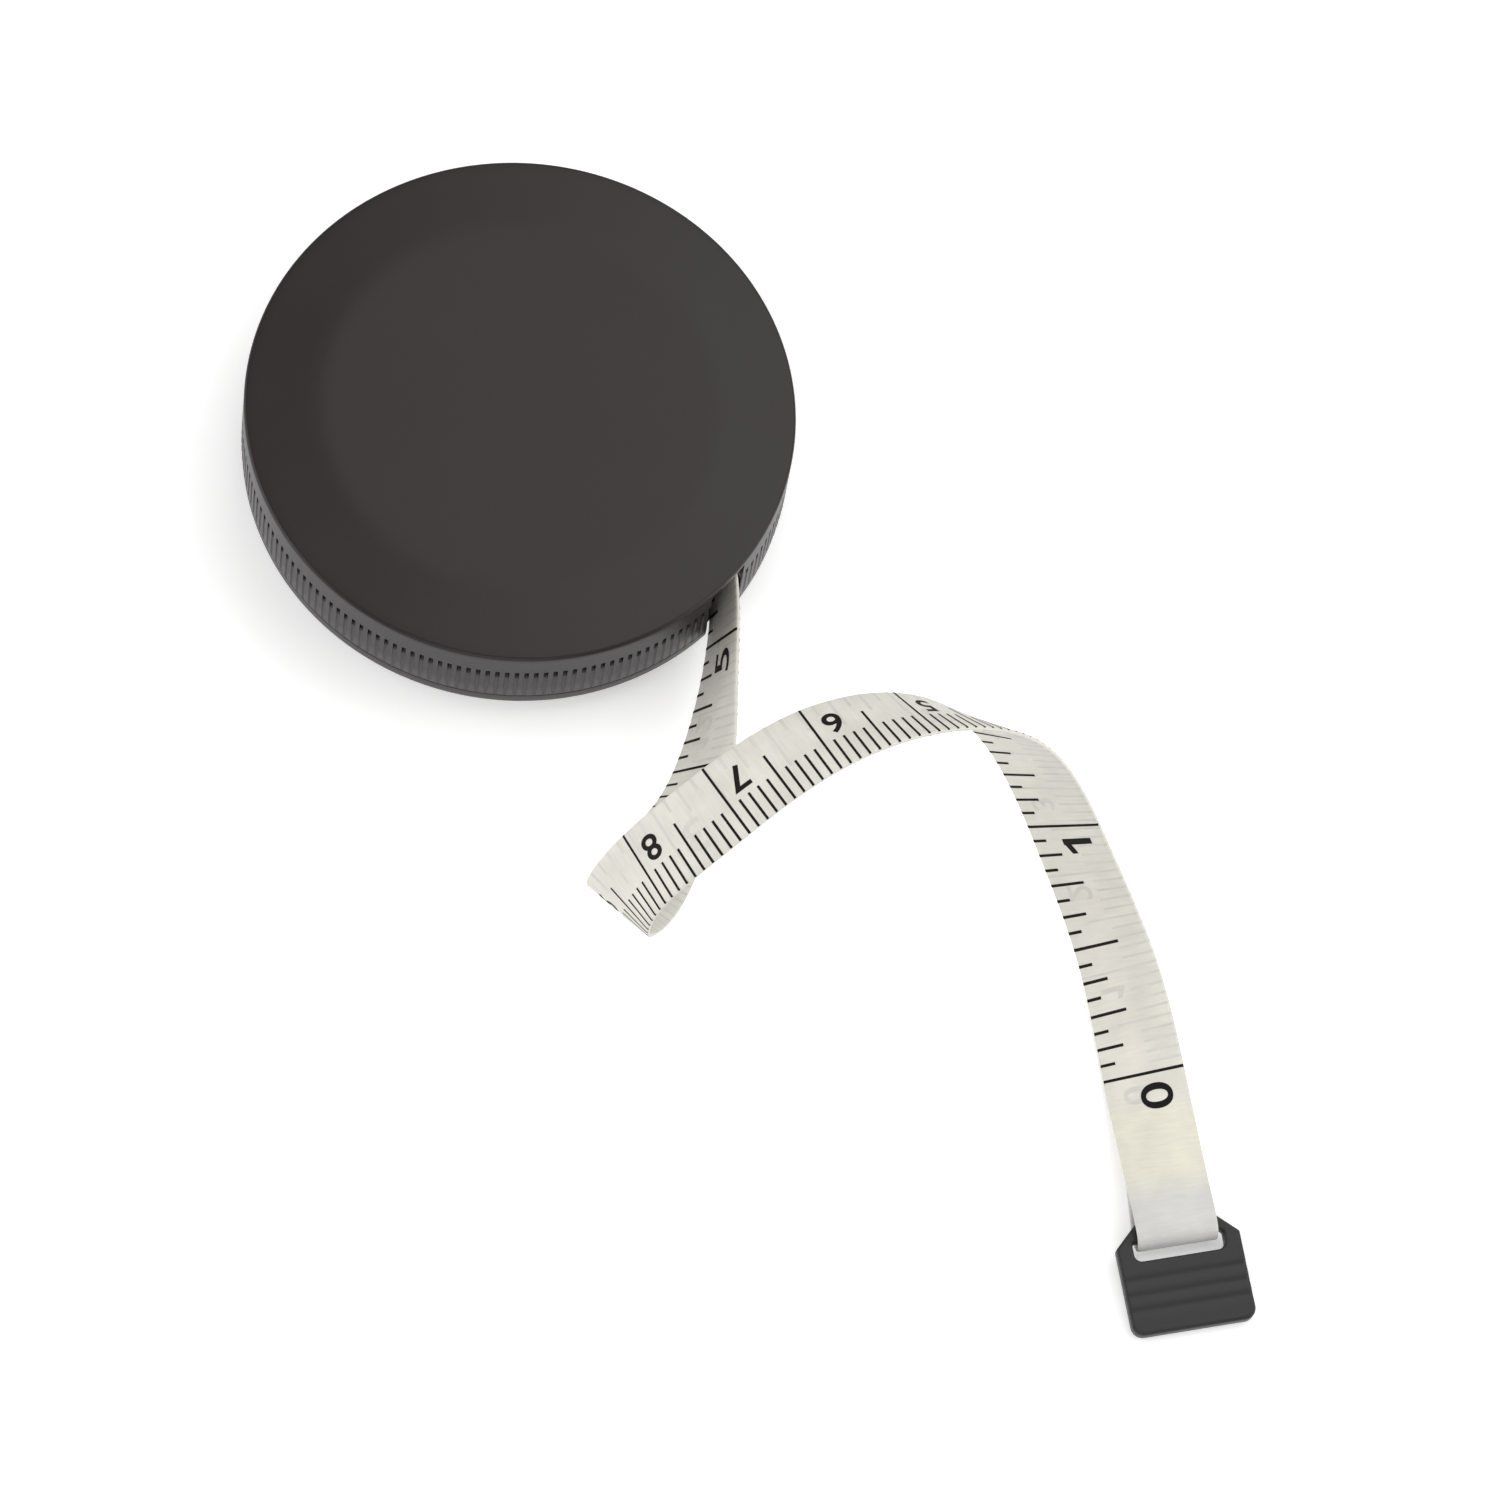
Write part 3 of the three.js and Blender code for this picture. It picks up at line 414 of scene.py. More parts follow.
grid, base, in_mouth, sill = shell_grid(below, angles, SILL_ROW, SILL_BACK_ROW)
grid[SILL_ROW:SILL_BACK_ROW + 1, in_mouth] = sill
quads = grid_quads(len(below), len(base), wrap_columns=True)
lower_shell, _ = welded_mesh("case_lower_shell", grid.reshape(-1, 3), quads, shell_plastic)
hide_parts("lower_shell")
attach(lower_shell, "case")

# Axle, pins, clip and power spring.
# The fixed post of the case and the pins of the brake lever and of the tape's inner end are turned steel.
# The clip pushed on the post and the flat spiral spring that winds the reel are blued spring steel.
STEEL = (0.62, 0.62, 0.64)
BLUED_STEEL = (0.3, 0.34, 0.4)
LATHE_LINES = (300, 300, 9000)


def turned_steel(name, colour, roughness):
    """Bare steel with fine lathe lines around Z and a little uneven polish."""
    material = bpy.data.materials.new(name)
    material.use_nodes = True
    nodes, links = material.node_tree.nodes, material.node_tree.links
    metal = nodes["Principled BSDF"]
    metal.inputs["Metallic"].default_value = 1
    place = nodes.new("ShaderNodeTexCoord")
    stretch = nodes.new("ShaderNodeMapping")
    stretch.inputs["Scale"].default_value = LATHE_LINES
    lines = nodes.new("ShaderNodeTexNoise")
    lines.inputs["Scale"].default_value = 1
    lines.inputs["Detail"].default_value = 3
    tint = nodes.new("ShaderNodeValToRGB")
    tint.color_ramp.elements[0].color = (*(0.75 * np.array(colour)), 1)
    tint.color_ramp.elements[1].color = (*colour, 1)
    polish = nodes.new("ShaderNodeMapRange")
    polish.inputs["To Min"].default_value = roughness - 0.06
    polish.inputs["To Max"].default_value = roughness + 0.1
    links.new(place.outputs["Object"], stretch.inputs["Vector"])
    links.new(stretch.outputs["Vector"], lines.inputs["Vector"])
    links.new(lines.outputs["Fac"], tint.inputs["Fac"])
    links.new(lines.outputs["Fac"], polish.inputs["Value"])
    links.new(tint.outputs["Color"], metal.inputs["Base Color"])
    links.new(polish.outputs["Result"], metal.inputs["Roughness"])
    return material


def finish_node(name, material):
    """Gives a solid of the frame its finish."""
    materials = frame["nodes"][name].data.materials
    materials.clear()
    materials.append(material)


bright_steel = turned_steel("bright_steel", STEEL, 0.3)
spring_steel = turned_steel("spring_steel", BLUED_STEEL, 0.32)
for node in ("axle_post", "brake_pin", "tape_anchor"):
    finish_node(node, bright_steel)
for node in ("axle_clip", "power_spring"):
    finish_node(node, spring_steel)

# Reel, brake lever and lining.
# The hub and its cover are moulded in pale nylon, as are the thin disc over the spring, the washer on
# the clip and the brake lever. The lining on the lever is a strip of brown friction rubber.
nylon = moulded_plastic("pale_nylon", (0.6, 0.59, 0.54), (0.66, 0.65, 0.6), 0.4, 0.2)
for node in ("reel_hub", "reel_cover", "spring_disc", "thrust_washer", "brake_lever"):
    finish_node(node, nylon)
lining = moulded_plastic("friction_lining", (0.06, 0.035, 0.025), (0.11, 0.07, 0.05), 0.75, 1)
finish_node("brake_pad", lining)

# Push button.
# A round cap of the same black plastic as the case, moulded a little smoother. It slides in the hole
# of the base, kept in by its lip.
button_plastic = moulded_plastic("button_plastic", (0.022, 0.022, 0.022), (0.028, 0.028, 0.028), 0.26, 0.2)
finish_node("push_button", button_plastic)

# Coil springs.
# Round spring wire wound in a screw line: one under the push button, which it presses out, and a
# small one around the pin of the brake lever, which it turns against the drum.
WIRE_SIDES = 12
STEPS_A_TURN = 40


def coil_spring(name, node, wire, turns):
    """Wire circle carried along a helix that fills the box of a node: u along the wire, v around it."""
    low, high = (np.array(c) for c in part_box(node))
    middle = (low + high) / 2
    radius = (high[0] - low[0]) / 2 - wire
    u = np.linspace(0, 1, int(turns * STEPS_A_TURN) + 1)[:, None]
    v = np.linspace(0, 2 * np.pi, WIRE_SIDES, endpoint=False)[None, :]
    turn = 2 * np.pi * turns * u
    out = radius + wire * np.cos(v)
    x = middle[0] + out * np.cos(turn)
    y = middle[1] + out * np.sin(turn)
    z = low[2] + wire + (high[2] - low[2] - 2 * wire) * u + wire * np.sin(v)
    points = np.stack([x, y, z], axis=2).reshape(-1, 3)
    ends = np.stack([points[:WIRE_SIDES].mean(axis=0), points[-WIRE_SIDES:].mean(axis=0)])
    count = len(points)
    sides = grid_quads(len(u), WIRE_SIDES, wrap_columns=True)
    k = np.arange(WIRE_SIDES)
    k2 = (k + 1) % WIRE_SIDES
    first_end, last_end = np.full(WIRE_SIDES, count), np.full(WIRE_SIDES, count + 1)
    last = count - WIRE_SIDES
    first_cap = np.stack([first_end, first_end, k2, k], axis=1)
    last_cap = np.stack([last_end, last_end, last + k, last + k2], axis=1)
    quads = np.concatenate([sides[:, ::-1], first_cap[:, ::-1], last_cap[:, ::-1]])
    piece, _ = welded_mesh(name, np.concatenate([points, ends]), quads, spring_steel)
    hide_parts(node)
    return piece


button_coil = coil_spring("button_coil_spring", "button_spring", 0.2 * MM, 2.5)
brake_coil = coil_spring("brake_coil_spring", "brake_spring", 0.12 * MM, 2)
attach(brake_coil, "case")
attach(button_coil, "case")
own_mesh(button_coil)

# Wound tape.
# The rest of the coated cloth tape, wound on the hub turn on turn, with its inner end held by the
# pin. The thin edges of the turns show as rings.
LAYERS = 13
COIL_INNER = 14.3 * MM
TURN_DIP = 0.12 * MM
COIL_COLUMNS = 192
low, high = (np.array(c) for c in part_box("tape_coil"))
step = np.arange(2 * LAYERS + 1) / (2 * LAYERS)
ring_r = COIL_INNER + (high[0] - COIL_INNER) * step
ring_dip = np.where(np.arange(len(step)) % 2 == 0, TURN_DIP, 0)
top = np.stack([ring_r, high[2] - ring_dip], axis=1)
bottom = np.stack([ring_r[::-1], low[2] + ring_dip[::-1]], axis=1)
section = np.concatenate([top, bottom])
angles = np.linspace(0, 2 * np.pi, COIL_COLUMNS, endpoint=False)
coil_x, coil_y = section[:, :1] * np.cos(angles), section[:, :1] * np.sin(angles)
grid = np.stack([coil_x, coil_y, np.repeat(section[:, 1:], COIL_COLUMNS, axis=1)], axis=2)
quads = grid_quads(len(section), COIL_COLUMNS, wrap_rows=True, wrap_columns=True)[:, ::-1]
wound_cloth = moulded_plastic("wound_cloth", (0.52, 0.5, 0.42), (0.6, 0.58, 0.5), 0.5, 0.6)
wound, _ = welded_mesh("wound_tape", grid.reshape(-1, 3), quads, wound_cloth)
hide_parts("tape_coil")
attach(wound, "reel")

# Free tape.
# Woven glass cloth coated with soft off-white vinyl. The outer end of the tape leaves the mouth,
# stands in one curl from the set of the reel, lies down, and is folded round the tab's bar.
TAPE_W = 7.5 * MM
TAPE_T = 0.4 * MM
# Each row of the route is a place in millimetres and the way across the tape there.
ROUTE = np.array([
    [20, 1, 6.3, 0, 0, 1],
    [20, -4, 6.3, 0, 0, 1],
    [21.5, -10, 6, 0.2, 0, 1],
    [23, -20, 5, 0.4, 0, 0.9],
    [23, -31, 5, 0.8, 0.1, 0.6],
    [21.5, -38, 8, 1, 0, 0.2],
    [20, -45.5, 12.5, 0.9, -0.3, -0.1],
    [18.5, -49.5, 18, 0.9, -0.5, -0.1],
    [19.5, -49, 24, 0.7, -0.7, 0],
    [24, -45, 30, 0.7, -0.7, 0],
    [32, -37, 33, 0.6, -0.7, 0.2],
    [41, -30.5, 30.5, 0.7, -0.6, 0.5],
    [50, -27.5, 22, 0.7, -0.2, 0.6],
    [58, -32, 10.5, 0.7, 0.1, 0.7],
    [64, -39, 3.5, 0.8, 0.2, 0.5],
    [68.5, -49, 1.5, 0.9, 0.3, 0.2],
    [72.5, -60, 3, 0.9, 0.4, 0],
])
BAR = np.array([73.4, -62.3, 1.645]) * MM
TAB_HEADING = np.radians(-68)
LOOP_R = 1.395 * MM
FLAP = np.array([[-2, 0.2], [-4, 0.5], [-6, 1]]) * MM
FLAP_TRIM = 0.14
STEP = 0.2 * MM
FLAT_POINTS = 9
ZERO_BEFORE_BAR = 15.2 * MM
tab_along = np.array([np.cos(TAB_HEADING), np.sin(TAB_HEADING), 0])
tab_across = np.array([-tab_along[1], tab_along[0], 0])
loop_turn = np.radians(np.array([90, 60, 30, 0, -30, -60, -90]))[:, None]
loop = BAR + LOOP_R * (np.cos(loop_turn) * tab_along + np.sin(loop_turn) * [0, 0, 1])
flap = BAR + FLAP[:, :1] * tab_along + (FLAP[:, 1:] - LOOP_R) * [0, 0, 1]
stations = np.concatenate([ROUTE[:, :3] * MM, loop, flap])
ways = np.concatenate([ROUTE[:, 3:], np.repeat(tab_across[None], len(loop) + len(flap), axis=0)])


def smooth_line(knots, values, at):
    """Natural cubic spline: pieces of third degree through the values, equal in slope and bend."""
    gap = np.diff(knots)
    slope = np.diff(values, axis=0) / gap[:, None]
    n = len(knots)
    system = np.eye(n)
    k = np.arange(1, n - 1)
    system[k, k - 1], system[k, k], system[k, k + 1] = gap[:-1], 2 * (gap[:-1] + gap[1:]), gap[1:]
    bend = np.zeros_like(values)
    bend[1:-1] = 6 * np.diff(slope, axis=0)
    bend = np.linalg.solve(system, bend)
    i = np.clip(np.searchsorted(knots, at, side="right") - 1, 0, n - 2)
    a, h = (at - knots[i])[:, None], gap[i][:, None]
    linear = slope[i] - h * (2 * bend[i] + bend[i + 1]) / 6
    return values[i] + linear * a + bend[i] * a**2 / 2 + (bend[i + 1] - bend[i]) * a**3 / (6 * h)


chord = np.concatenate([[0], np.cumsum(np.linalg.norm(np.diff(stations, axis=0), axis=1))])
at = np.linspace(0, chord[-1], int(chord[-1] / STEP) + 1)
centre = smooth_line(chord, stations, at)
along = np.gradient(centre, axis=0)
along /= np.linalg.norm(along, axis=1, keepdims=True)
wide = smooth_line(chord, ways, at)
wide -= along * np.sum(along * wide, axis=1, keepdims=True)
wide /= np.linalg.norm(wide, axis=1, keepdims=True)
inch_side = np.cross(along, wide)
run = np.concatenate([[0], np.cumsum(np.linalg.norm(np.diff(centre, axis=0), axis=1))])
zero_run = np.interp(chord[len(ROUTE)], at, run) - ZERO_BEFORE_BAR

half = TAPE_W / 2
flat_w = np.linspace(-half + TAPE_T / 2, half - TAPE_T / 2, FLAT_POINTS)
round_edge = np.radians([90, 45, 0, -45, -90])
edge_w = half - TAPE_T / 2 + TAPE_T / 2 * np.cos(round_edge)
edge_h = TAPE_T / 2 * np.sin(round_edge)
upper_h, lower_h = np.full(FLAT_POINTS - 1, TAPE_T / 2), np.full(FLAT_POINTS - 2, -TAPE_T / 2)
ring_w = np.concatenate([flat_w[:-1], edge_w, flat_w[-2:0:-1], -edge_w[::-1]])[:-1]
ring_h = np.concatenate([upper_h, edge_h, lower_h, edge_h[::-1]])[:-1]
flap_start = chord[-len(FLAP) - 1]
trim = 1 - FLAP_TRIM * np.clip((at - flap_start) / (chord[-1] - flap_start), 0, 1)
sweep = centre[:, None] + wide[:, None] * (trim[:, None] * ring_w)[..., None]
sweep = sweep + inch_side[:, None] * ring_h[:, None]
count = len(ring_w)
sides = grid_quads(len(centre), count, wrap_columns=True)
k = np.arange(count // 2)
start_cap = np.stack([k, k + 1, (count - k - 1) % count, (count - k) % count], axis=1)
end_cap = start_cap[:, ::-1] + (len(centre) - 1) * count
quads = np.concatenate([sides, start_cap, end_cap])

CLOTH = (0.74, 0.715, 0.65)
BLANK_END = (0.77, 0.745, 0.635)
# Painted shade: the tape's colour turns greyer over its last few millimetres before the tab's bar, where the
# tape curves down to it.
SHADED_END = (0.63, 0.625, 0.6)
BLANK_FROM = 3.4
BLANK_BLEND = 0.4
SHADE_FROM = 10
SHADE_BLEND = 3
THREADS_A_MM = 1.9
FACES_APART = 40
TAPE_SMOOTH_BELOW = 60


def coated_cloth(name, ground, blank):
    """Coated cloth: a plain weave of two crossed waves, streaks across, soft blotches, a paler blank end.

    Its attribute tape_mm holds the way past the zero line, the way across and the face, in millimetres.
    """
    material = bpy.data.materials.new(name)
    material.use_nodes = True
    nodes, links = material.node_tree.nodes, material.node_tree.links
    cloth = nodes["Principled BSDF"]
    cloth.inputs["IOR"].default_value = 1.45
    where = nodes.new("ShaderNodeAttribute")
    where.attribute_name = "tape_mm"
    parts = nodes.new("ShaderNodeSeparateXYZ")
    links.new(where.outputs["Vector"], parts.inputs["Vector"])

    def noise(stretch, detail):
        """Cloudy noise over the tape, with as many clouds a millimetre as stretch says for each way."""
        scaled = nodes.new("ShaderNodeVectorMath")
        scaled.operation = "MULTIPLY"
        scaled.inputs[1].default_value = stretch
        links.new(where.outputs["Vector"], scaled.inputs[0])
        field = nodes.new("ShaderNodeTexNoise")
        field.inputs["Scale"].default_value = 1
        field.inputs["Detail"].default_value = detail
        links.new(scaled.outputs["Vector"], field.inputs["Vector"])
        return field.outputs["Fac"]

    def between(value, low, high, start, end):
        """The range from start to end carried evenly over to the range from low to high."""
        spread = nodes.new("ShaderNodeMapRange")
        spread.inputs["From Min"].default_value = start
        spread.inputs["From Max"].default_value = end
        spread.inputs["To Min"].default_value = low
        spread.inputs["To Max"].default_value = high
        links.new(value, spread.inputs["Value"])
        return spread.outputs["Result"]

    def wave(value, threads):
        """Sine of a way in millimetres, with one full turn for each thread."""
        angle = nodes.new("ShaderNodeMath")
        angle.operation = "MULTIPLY"
        angle.inputs[1].default_value = 2 * np.pi * threads
        links.new(value, angle.inputs[0])
        ripple = nodes.new("ShaderNodeMath")
        ripple.operation = "SINE"
        links.new(angle.outputs[0], ripple.inputs[0])
        return ripple.outputs[0]

    streaks, blotches = noise((3.6, 0.4, 1), 4), noise((0.25, 0.3, 1), 2)
    past = parts.outputs["X"]
    end = nodes.new("ShaderNodeMix")
    end.data_type = "RGBA"
    end.inputs["A"].default_value = (*ground, 1)
    end.inputs["B"].default_value = (*blank, 1)
    links.new(between(past, 0, 1, BLANK_FROM - BLANK_BLEND, BLANK_FROM + BLANK_BLEND), end.inputs["Factor"])
    # Painted shade: greys the colour over the last few millimetres before the tab's bar.
    end_shade = nodes.new("ShaderNodeMix")
    end_shade.data_type = "RGBA"
    end_shade.inputs["B"].default_value = (*SHADED_END, 1)
    links.new(end.outputs["Result"], end_shade.inputs["A"])
    links.new(between(past, 0, 1, SHADE_FROM, SHADE_FROM + SHADE_BLEND), end_shade.inputs["Factor"])
    shade = nodes.new("ShaderNodeMath")
    shade.operation = "MULTIPLY"
    links.new(between(streaks, 0.95, 1.03, 0.3, 0.7), shade.inputs[0])
    links.new(between(blotches, 0.93, 1.04, 0.3, 0.7), shade.inputs[1])
    tone = nodes.new("ShaderNodeVectorMath")
    tone.operation = "SCALE"
    links.new(end_shade.outputs["Result"], tone.inputs[0])
    links.new(shade.outputs[0], tone.inputs["Scale"])
    links.new(tone.outputs["Vector"], cloth.inputs["Base Color"])
    links.new(between(blotches, 0.36, 0.52, 0.3, 0.7), cloth.inputs["Roughness"])
    weave = nodes.new("ShaderNodeMath")
    weave.operation = "MULTIPLY"
    links.new(wave(past, THREADS_A_MM), weave.inputs[0])
    links.new(wave(parts.outputs["Y"], THREADS_A_MM), weave.inputs[1])
    bump = nodes.new("ShaderNodeBump")
    bump.inputs["Strength"].default_value = 0.3
    bump.inputs["Distance"].default_value = 0.012 * MM
    links.new(weave.outputs[0], bump.inputs["Height"])
    links.new(bump.outputs["Normal"], cloth.inputs["Normal"])
    return material


tape_cloth = coated_cloth("coated_cloth", CLOTH, BLANK_END)
tape, kept = welded_mesh("free_tape", sweep.reshape(-1, 3), quads, tape_cloth, TAPE_SMOOTH_BELOW)
tape_mm = np.zeros((len(centre), count, 3))
tape_mm[..., 0] = (run[:, None] - zero_run) / MM
tape_mm[..., 1] = ring_w / MM
tape_mm[..., 2] = np.sign(ring_h) * FACES_APART
marks = tape.data.attributes.new("tape_mm", "FLOAT_VECTOR", "POINT")
marks.data.foreach_set("vector", tape_mm.reshape(-1, 3)[kept].ravel())

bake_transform(tape)
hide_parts("tape_strip", "tape_fold")

# Printed scale.
# Black ink on both faces: inches in sixteenths on one, centimetres and millimetres on the other,
# each marked from its own edge. A faint shadow of each face's print shows through on the other face.
INK_LIFT = 0.015 * MM
SHADOW_LIFT = 0.007 * MM
INCH = 25.4 * MM
CENTIMETRE = 10 * MM
INCH_FACE = 1
CM_FACE = -1
INCH_MARKS = [(1, 1.43 * MM), (2, 2.5 * MM), (4, 3.5 * MM), (8, 4.6 * MM), (16, TAPE_W)]
CM_MARKS = [(1, 3.08 * MM), (5, 5.1 * MM), (10, TAPE_W)]
INCH_MARK_W = 0.29 * MM
CM_MARK_W = 0.24 * MM
MARK_EDGE = np.array([0.04, 0.1, 0.2]) * MM
MARK_POINTS = 12
# A figure stands so far before its mark, and so far across from the middle of the tape.
INCH_FIGURE_AT = (2.35 * MM, 0.8 * MM)
INCH_FIGURE_SIZE = (5.6 * MM, 2.95 * MM)
INCH_BOLD = 0.012
CM_FIGURE_AT = (1.95 * MM, -1.05 * MM)
CM_FIGURE_SIZE = (3.8 * MM, 2.35 * MM)
CM_BOLD = 0.016
FIGURE_PITCH = 0.5
FIGURE_CUTS = np.arange(0.05, 2.5, 0.07)
ONE_FLAG = [(0.01, 0.42), (0.22, 0.52), (0.22, 0.68), (0.01, 0.56)]


def scale_marks(unit, lengths, width, face):
    """A row of marks: one every unit from one edge, as long as the largest step that it stands on.

    Each mark is a grid of two rows of points, from the edge inwards, as (way past zero, way across).
    """
    index = np.arange(int(zero_run / unit) + 1)
    length = np.full(len(index), lengths[0][1])
    for step, reach in lengths[1:]:
        length[index % step == 0] = reach
    share = np.linspace(MARK_EDGE[-1], TAPE_W - MARK_EDGE[-1], MARK_POINTS)
    share = np.concatenate([MARK_EDGE, share[1:], TAPE_W - MARK_EDGE[-2::-1]])
    inwards = np.minimum(share[None, :], length[:, None])[:, None]
    past = index[:, None, None] * unit + np.array([-0.5, 0.5])[None, :, None] * width
    past, across = np.broadcast_arrays(past, face * (inwards - half))
    quads = grid_quads(2, len(share))[None] + 2 * len(share) * index[:, None, None]
    return past.ravel(), across.ravel(), quads.reshape(-1, 4), face


def scale_figure(text, past, across, face, size, bold):
    """A figure as flat triangles cut into narrow strips, around a place on the tape.

    It reads the way that the scale grows, and its head points to the edge that its marks start from.
    A one gets a flag at its head. A four isn't made bolder, because that would close its small hole.
    """
    letters = bpy.data.curves.new("figure", "FONT")
    letters.body = text
    letters.offset = 0 if "4" in text else bold
    letters.fill_mode = "FRONT"
    stand = bpy.data.objects.new("figure", letters)
    scene.collection.objects.link(stand)
    flat = bmesh.new()
    flat.from_mesh(stand.to_mesh())
    bpy.data.objects.remove(stand)
    for place in [FIGURE_PITCH * i for i, figure in enumerate(text) if figure == "1"]:
        flat.faces.new([flat.verts.new((place + x, y, 0)) for x, y in ONE_FLAG])
    for cut in FIGURE_CUTS:
        whole = flat.verts[:] + flat.edges[:] + flat.faces[:]
        bmesh.ops.bisect_plane(flat, geom=whole, plane_co=(cut, 0, 0), plane_no=(1, 0, 0))
    bmesh.ops.triangulate(flat, faces=flat.faces[:])
    thin = bpy.data.meshes.new("figure")
    flat.to_mesh(thin)
    flat.free()
    corner = np.empty(len(thin.vertices) * 3)
    thin.vertices.foreach_get("co", corner)
    corner = corner.reshape(-1, 3)[:, :2]
    three = np.empty(len(thin.loops), int)
    thin.loops.foreach_get("vertex_index", three)
    bpy.data.meshes.remove(thin)
    low, high = corner.min(axis=0), corner.max(axis=0)
    x, y = ((corner - (low + high) / 2) * [size[0], size[1] / (high[1] - low[1])]).T
    return past + x, across - face * y, three.reshape(-1, 3)[:, [0, 1, 2, 2]], face


def lay_on_tape(name, prints, through, lift, material):
    """Flat shapes laid over one face of the tape, or on the other face where they show through.

    Each point goes to its way along the tape's middle, then across, then out by the tape's half
    thickness, which falls off in a quarter circle at the edges, and the lift.
    """
    points, faces, done = [], [], 0
    for past, across, quads, face in prints:
        where = np.clip(zero_run - past, 0, run[-1])
        middle, side, normal = (
            np.stack([np.interp(where, run, part[:, i]) for i in range(3)], axis=-1)
            for part in (centre, wide, inch_side)
        )
        beside = np.maximum(np.abs(across) - (half - TAPE_T / 2), 0)
        high = (np.sqrt(np.maximum((TAPE_T / 2) ** 2 - beside**2, 0)) + lift) * (-face if through else face)
        points.append(middle + side * across[:, None] + normal * high[:, None])
        faces.append((quads[:, ::-1] if through else quads) + done)
        done += len(past)
    piece, kept = welded_mesh(name, np.concatenate(points), np.concatenate(faces), material)
    place = np.concatenate([np.stack([-a, b, np.full(len(a), f)], axis=1) for a, b, _, f in prints])
    marks = piece.data.attributes.new("tape_mm", "FLOAT_VECTOR", "POINT")
    marks.data.foreach_set("vector", (place[kept] / MM).ravel())
    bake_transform(piece)
    return piece


prints = [
    scale_marks(INCH / 16, INCH_MARKS, INCH_MARK_W, INCH_FACE),
    scale_marks(MM, CM_MARKS, CM_MARK_W, CM_FACE),
]
for n in range(int(zero_run / INCH) + 1):
    middle = n * INCH - INCH_FIGURE_AT[0]
    prints.append(scale_figure(str(n), middle, INCH_FIGURE_AT[1], INCH_FACE, INCH_FIGURE_SIZE, INCH_BOLD))
for n in range(int(zero_run / CENTIMETRE) + 1):
    middle = n * CENTIMETRE - CM_FIGURE_AT[0]
    prints.append(scale_figure(str(n), middle, CM_FIGURE_AT[1], CM_FACE, CM_FIGURE_SIZE, CM_BOLD))
ink = moulded_plastic("black_ink", (0.005, 0.0045, 0.004), (0.014, 0.012, 0.011), 0.6, 0.1, specular=0.15)
scale_print = lay_on_tape("scale_print", prints, False, INK_LIFT, ink)
shadow_cloth = coated_cloth("print_shadow", (0.665, 0.645, 0.6), (0.72, 0.7, 0.64))
print_shadow = lay_on_tape("print_shadow", prints, True, SHADOW_LIFT, shadow_cloth)

# Pull tab.
# A flat moulding of black plastic with a bar at its head, an opening that the tape is folded
# through, cut shoulders, rounded corners and three soft furrows across it for the fingers.
TAB_T = 1.3 * MM
TAB_BACK = -0.85 * MM
TAB_FRONT = 9.45 * MM
TAB_HALF = 5.75 * MM
SHOULDER = (2.1 * MM, 2.2 * MM)
OPENING = (0.85 * MM, 2.65 * MM, 4.2 * MM)
OPENING_MIDDLE = (OPENING[0] + OPENING[1]) / 2
TAB_CORNERS = [
    [TAB_BACK, SHOULDER[1] - TAB_HALF], [TAB_BACK + SHOULDER[0], -TAB_HALF], [TAB_FRONT, -TAB_HALF],
    [TAB_FRONT, TAB_HALF], [TAB_BACK + SHOULDER[0], TAB_HALF], [TAB_BACK, TAB_HALF - SHOULDER[1]],
]
OPENING_CORNERS = [
    [OPENING[0], -OPENING[2]], [OPENING[1], -OPENING[2]], [OPENING[1], OPENING[2]], [OPENING[0], OPENING[2]],
]
TAB_RADII = np.array([0.4, 0.35, 1.1, 1.1, 0.35, 0.4]) * MM
OPENING_RADII = np.array([0.35, 0.7, 0.7, 0.35]) * MM
TAB_LEAN = np.arcsin(0.1)
TAB_ROUNDING = 0.25 * MM
TAB_FURROWS = np.array([4.4, 5.85, 7.25]) * MM
FURROW_W = 0.36 * MM
FURROW_DEPTH = 0.07 * MM
CORNER_POINTS = 13
TAB_COLUMNS = 480
TAB_FLAT_ROWS = 44
ROUNDING_ROWS = 5
PARALLEL = 1e-12
SIDE_SLACK = 1e-6
OUT_OF_REACH = 1


def rounded_outline(corners, radii, inset):
    """A closed outline moved inwards by inset, each corner replaced by an arc that touches both sides."""
    corners, radii = np.array(corners, float), np.array(radii) - inset
    to_last = np.roll(corners, 1, axis=0) - corners
    to_next = np.roll(corners, -1, axis=0) - corners
    to_last /= np.linalg.norm(to_last, axis=1, keepdims=True)
    to_next /= np.linalg.norm(to_next, axis=1, keepdims=True)
    opening = np.arccos(np.sum(to_last * to_next, axis=1))[:, None]
    corners += (to_last + to_next) * inset / np.sin(opening)
    reach = radii[:, None] / np.tan(opening / 2)
    middle = corners + (to_last + to_next) * radii[:, None] / np.sin(opening)
    t = np.linspace(0, 1, CORNER_POINTS)[None, :, None]
    arm = (1 - t) * (corners + to_last * reach - middle)[:, None]
    arm = arm + t * (corners + to_next * reach - middle)[:, None]
    arm *= radii[:, None, None] / np.linalg.norm(arm, axis=2, keepdims=True)
    return (middle[:, None] + arm).reshape(-1, 2)


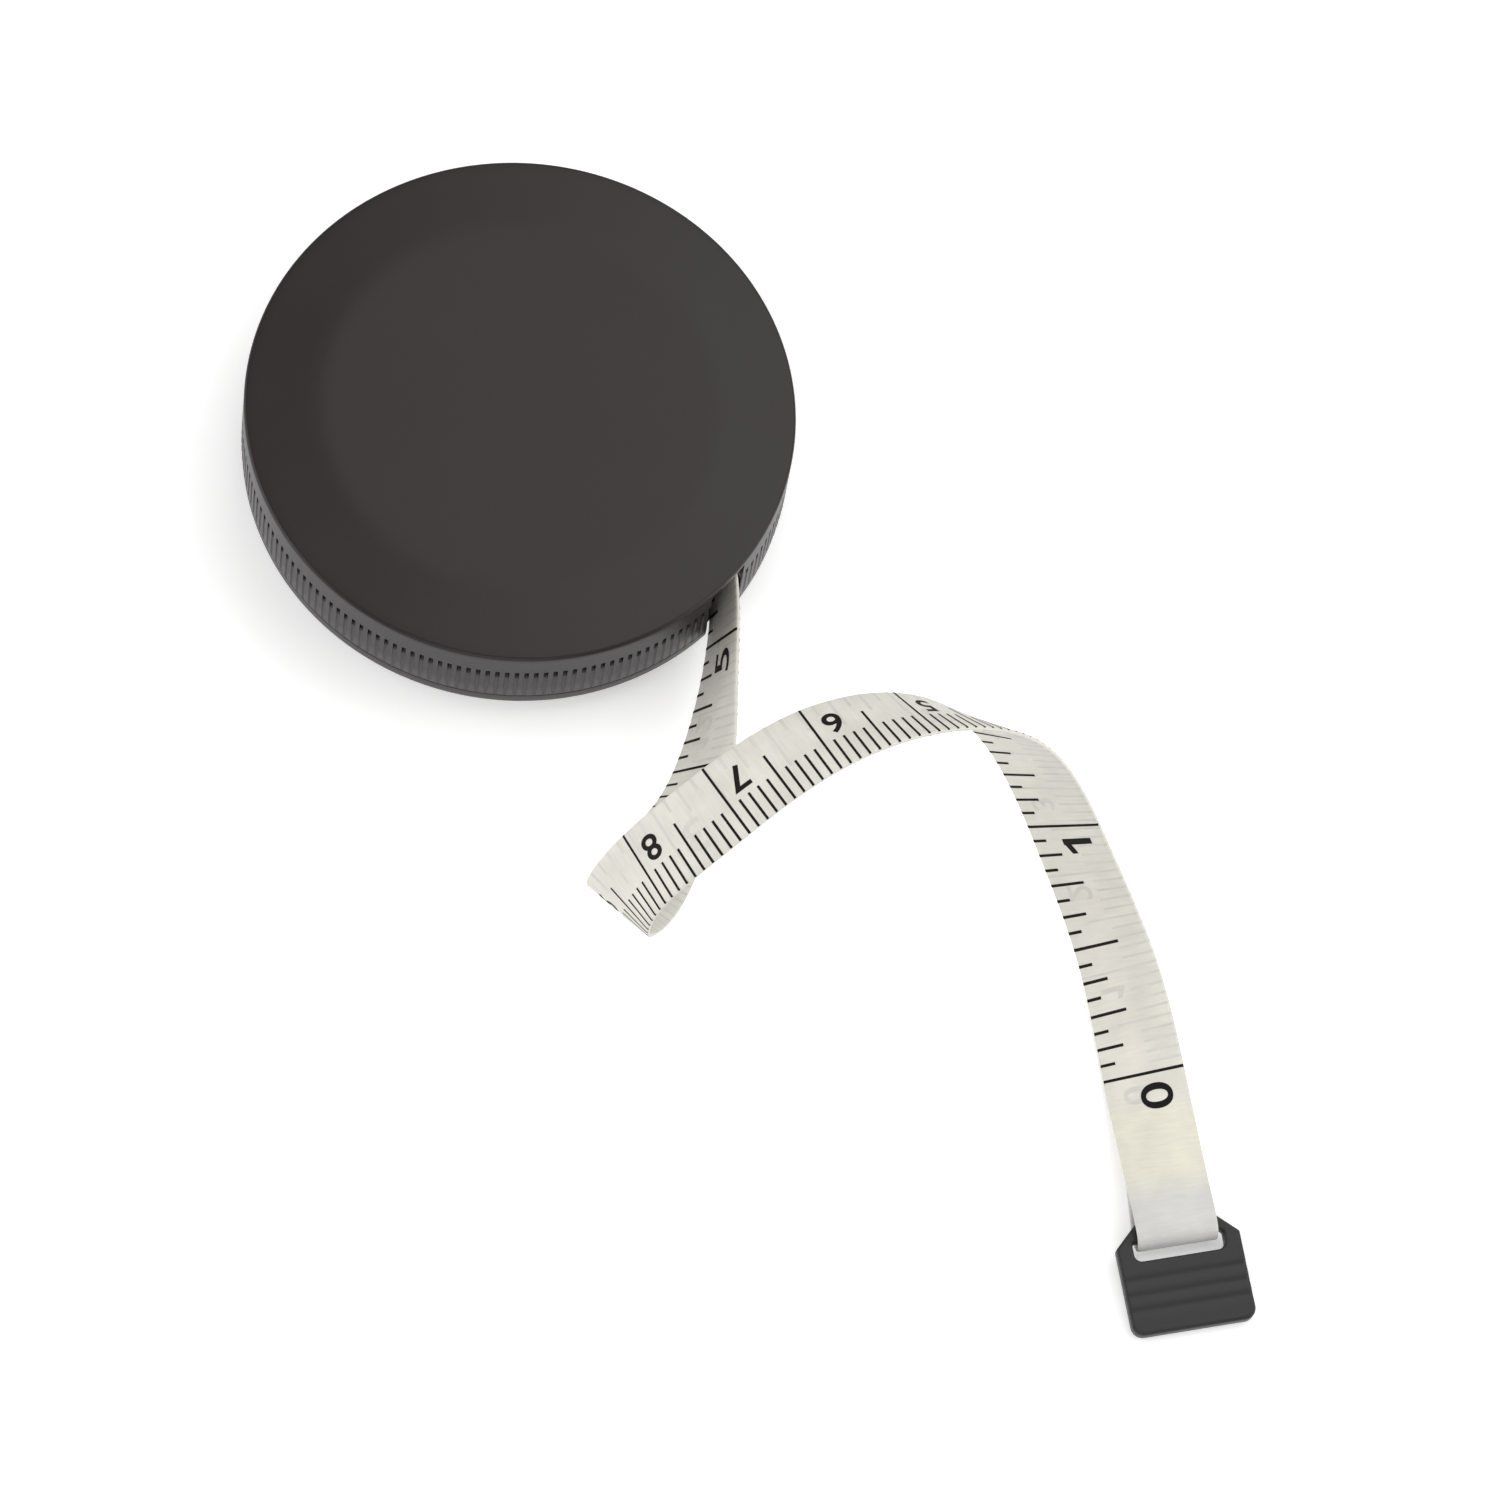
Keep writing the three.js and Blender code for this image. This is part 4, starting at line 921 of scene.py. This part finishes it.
def reach_of(outline, rays):
    """Distance from the opening's middle to a closed outline along each ray, where ray and side cross."""
    a = outline - [OPENING_MIDDLE, 0]
    side = np.roll(a, -1, axis=0) - a
    d = np.stack([np.cos(rays), np.sin(rays)], axis=1)[:, None]
    slant = d[..., 0] * side[:, 1] - d[..., 1] * side[:, 0]
    slant = np.where(np.abs(slant) < PARALLEL, PARALLEL, slant)
    far = (a[:, 0] * side[:, 1] - a[:, 1] * side[:, 0]) / slant
    share = (a[:, 0] * d[..., 1] - a[:, 1] * d[..., 0]) / slant
    hit = (share > -SIDE_SLACK) & (share < 1 + SIDE_SLACK) & (far > 0)
    return np.where(hit, far, OUT_OF_REACH).min(axis=1)


rays = np.linspace(-np.pi, np.pi, TAB_COLUMNS, endpoint=False)
arc = np.radians(np.linspace(0, 90, ROUNDING_ROWS))
deep = TAB_ROUNDING * (1 - np.sin(arc))
lift = TAB_T / 2 - TAB_ROUNDING * (1 - np.cos(arc))
hole_rows = np.array([reach_of(rounded_outline(OPENING_CORNERS, OPENING_RADII, -d), rays) for d in deep])
rim_rows = np.array([reach_of(rounded_outline(TAB_CORNERS, TAB_RADII, d), rays) for d in deep])
share = np.linspace(0, 1, TAB_FLAT_ROWS)[1:-1, None]
flat_rows = (1 - share) * hole_rows[0] + share * rim_rows[0]
top_reach = np.concatenate([hole_rows[::-1], flat_rows, rim_rows])
top_lift = np.concatenate([lift[::-1], np.full(len(share), TAB_T / 2), lift])
u = OPENING_MIDDLE + top_reach * np.cos(rays)
v = top_reach * np.sin(rays)
furrows = FURROW_DEPTH * np.exp(-(((u[..., None] - TAB_FURROWS) / FURROW_W) ** 2)).sum(axis=2)
u, v = np.concatenate([u, u[::-1]]), np.concatenate([v, v[::-1]])
h = np.concatenate([top_lift[:, None] - furrows, np.repeat(-top_lift[::-1, None], len(rays), axis=1)])
lean_along = np.cos(TAB_LEAN) * tab_along - np.sin(TAB_LEAN) * np.array([0, 0, 1])
lean_up = np.cross(lean_along, tab_across)
grid = BAR + u[..., None] * lean_along + v[..., None] * tab_across + h[..., None] * lean_up
quads = grid_quads(*u.shape, wrap_rows=True, wrap_columns=True)[:, ::-1]
TAB_DARK = (0.022, 0.0207, 0.0207)
TAB_LIGHT = (0.0285, 0.0272, 0.0272)
tab_plastic = moulded_plastic("tab_plastic", TAB_DARK, TAB_LIGHT, 0.34, 0.4, specular=0.3)
pull_tab, _ = welded_mesh("pull_tab", grid.reshape(-1, 3), quads, tab_plastic)
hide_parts("end_tab")
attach(pull_tab, "tab")
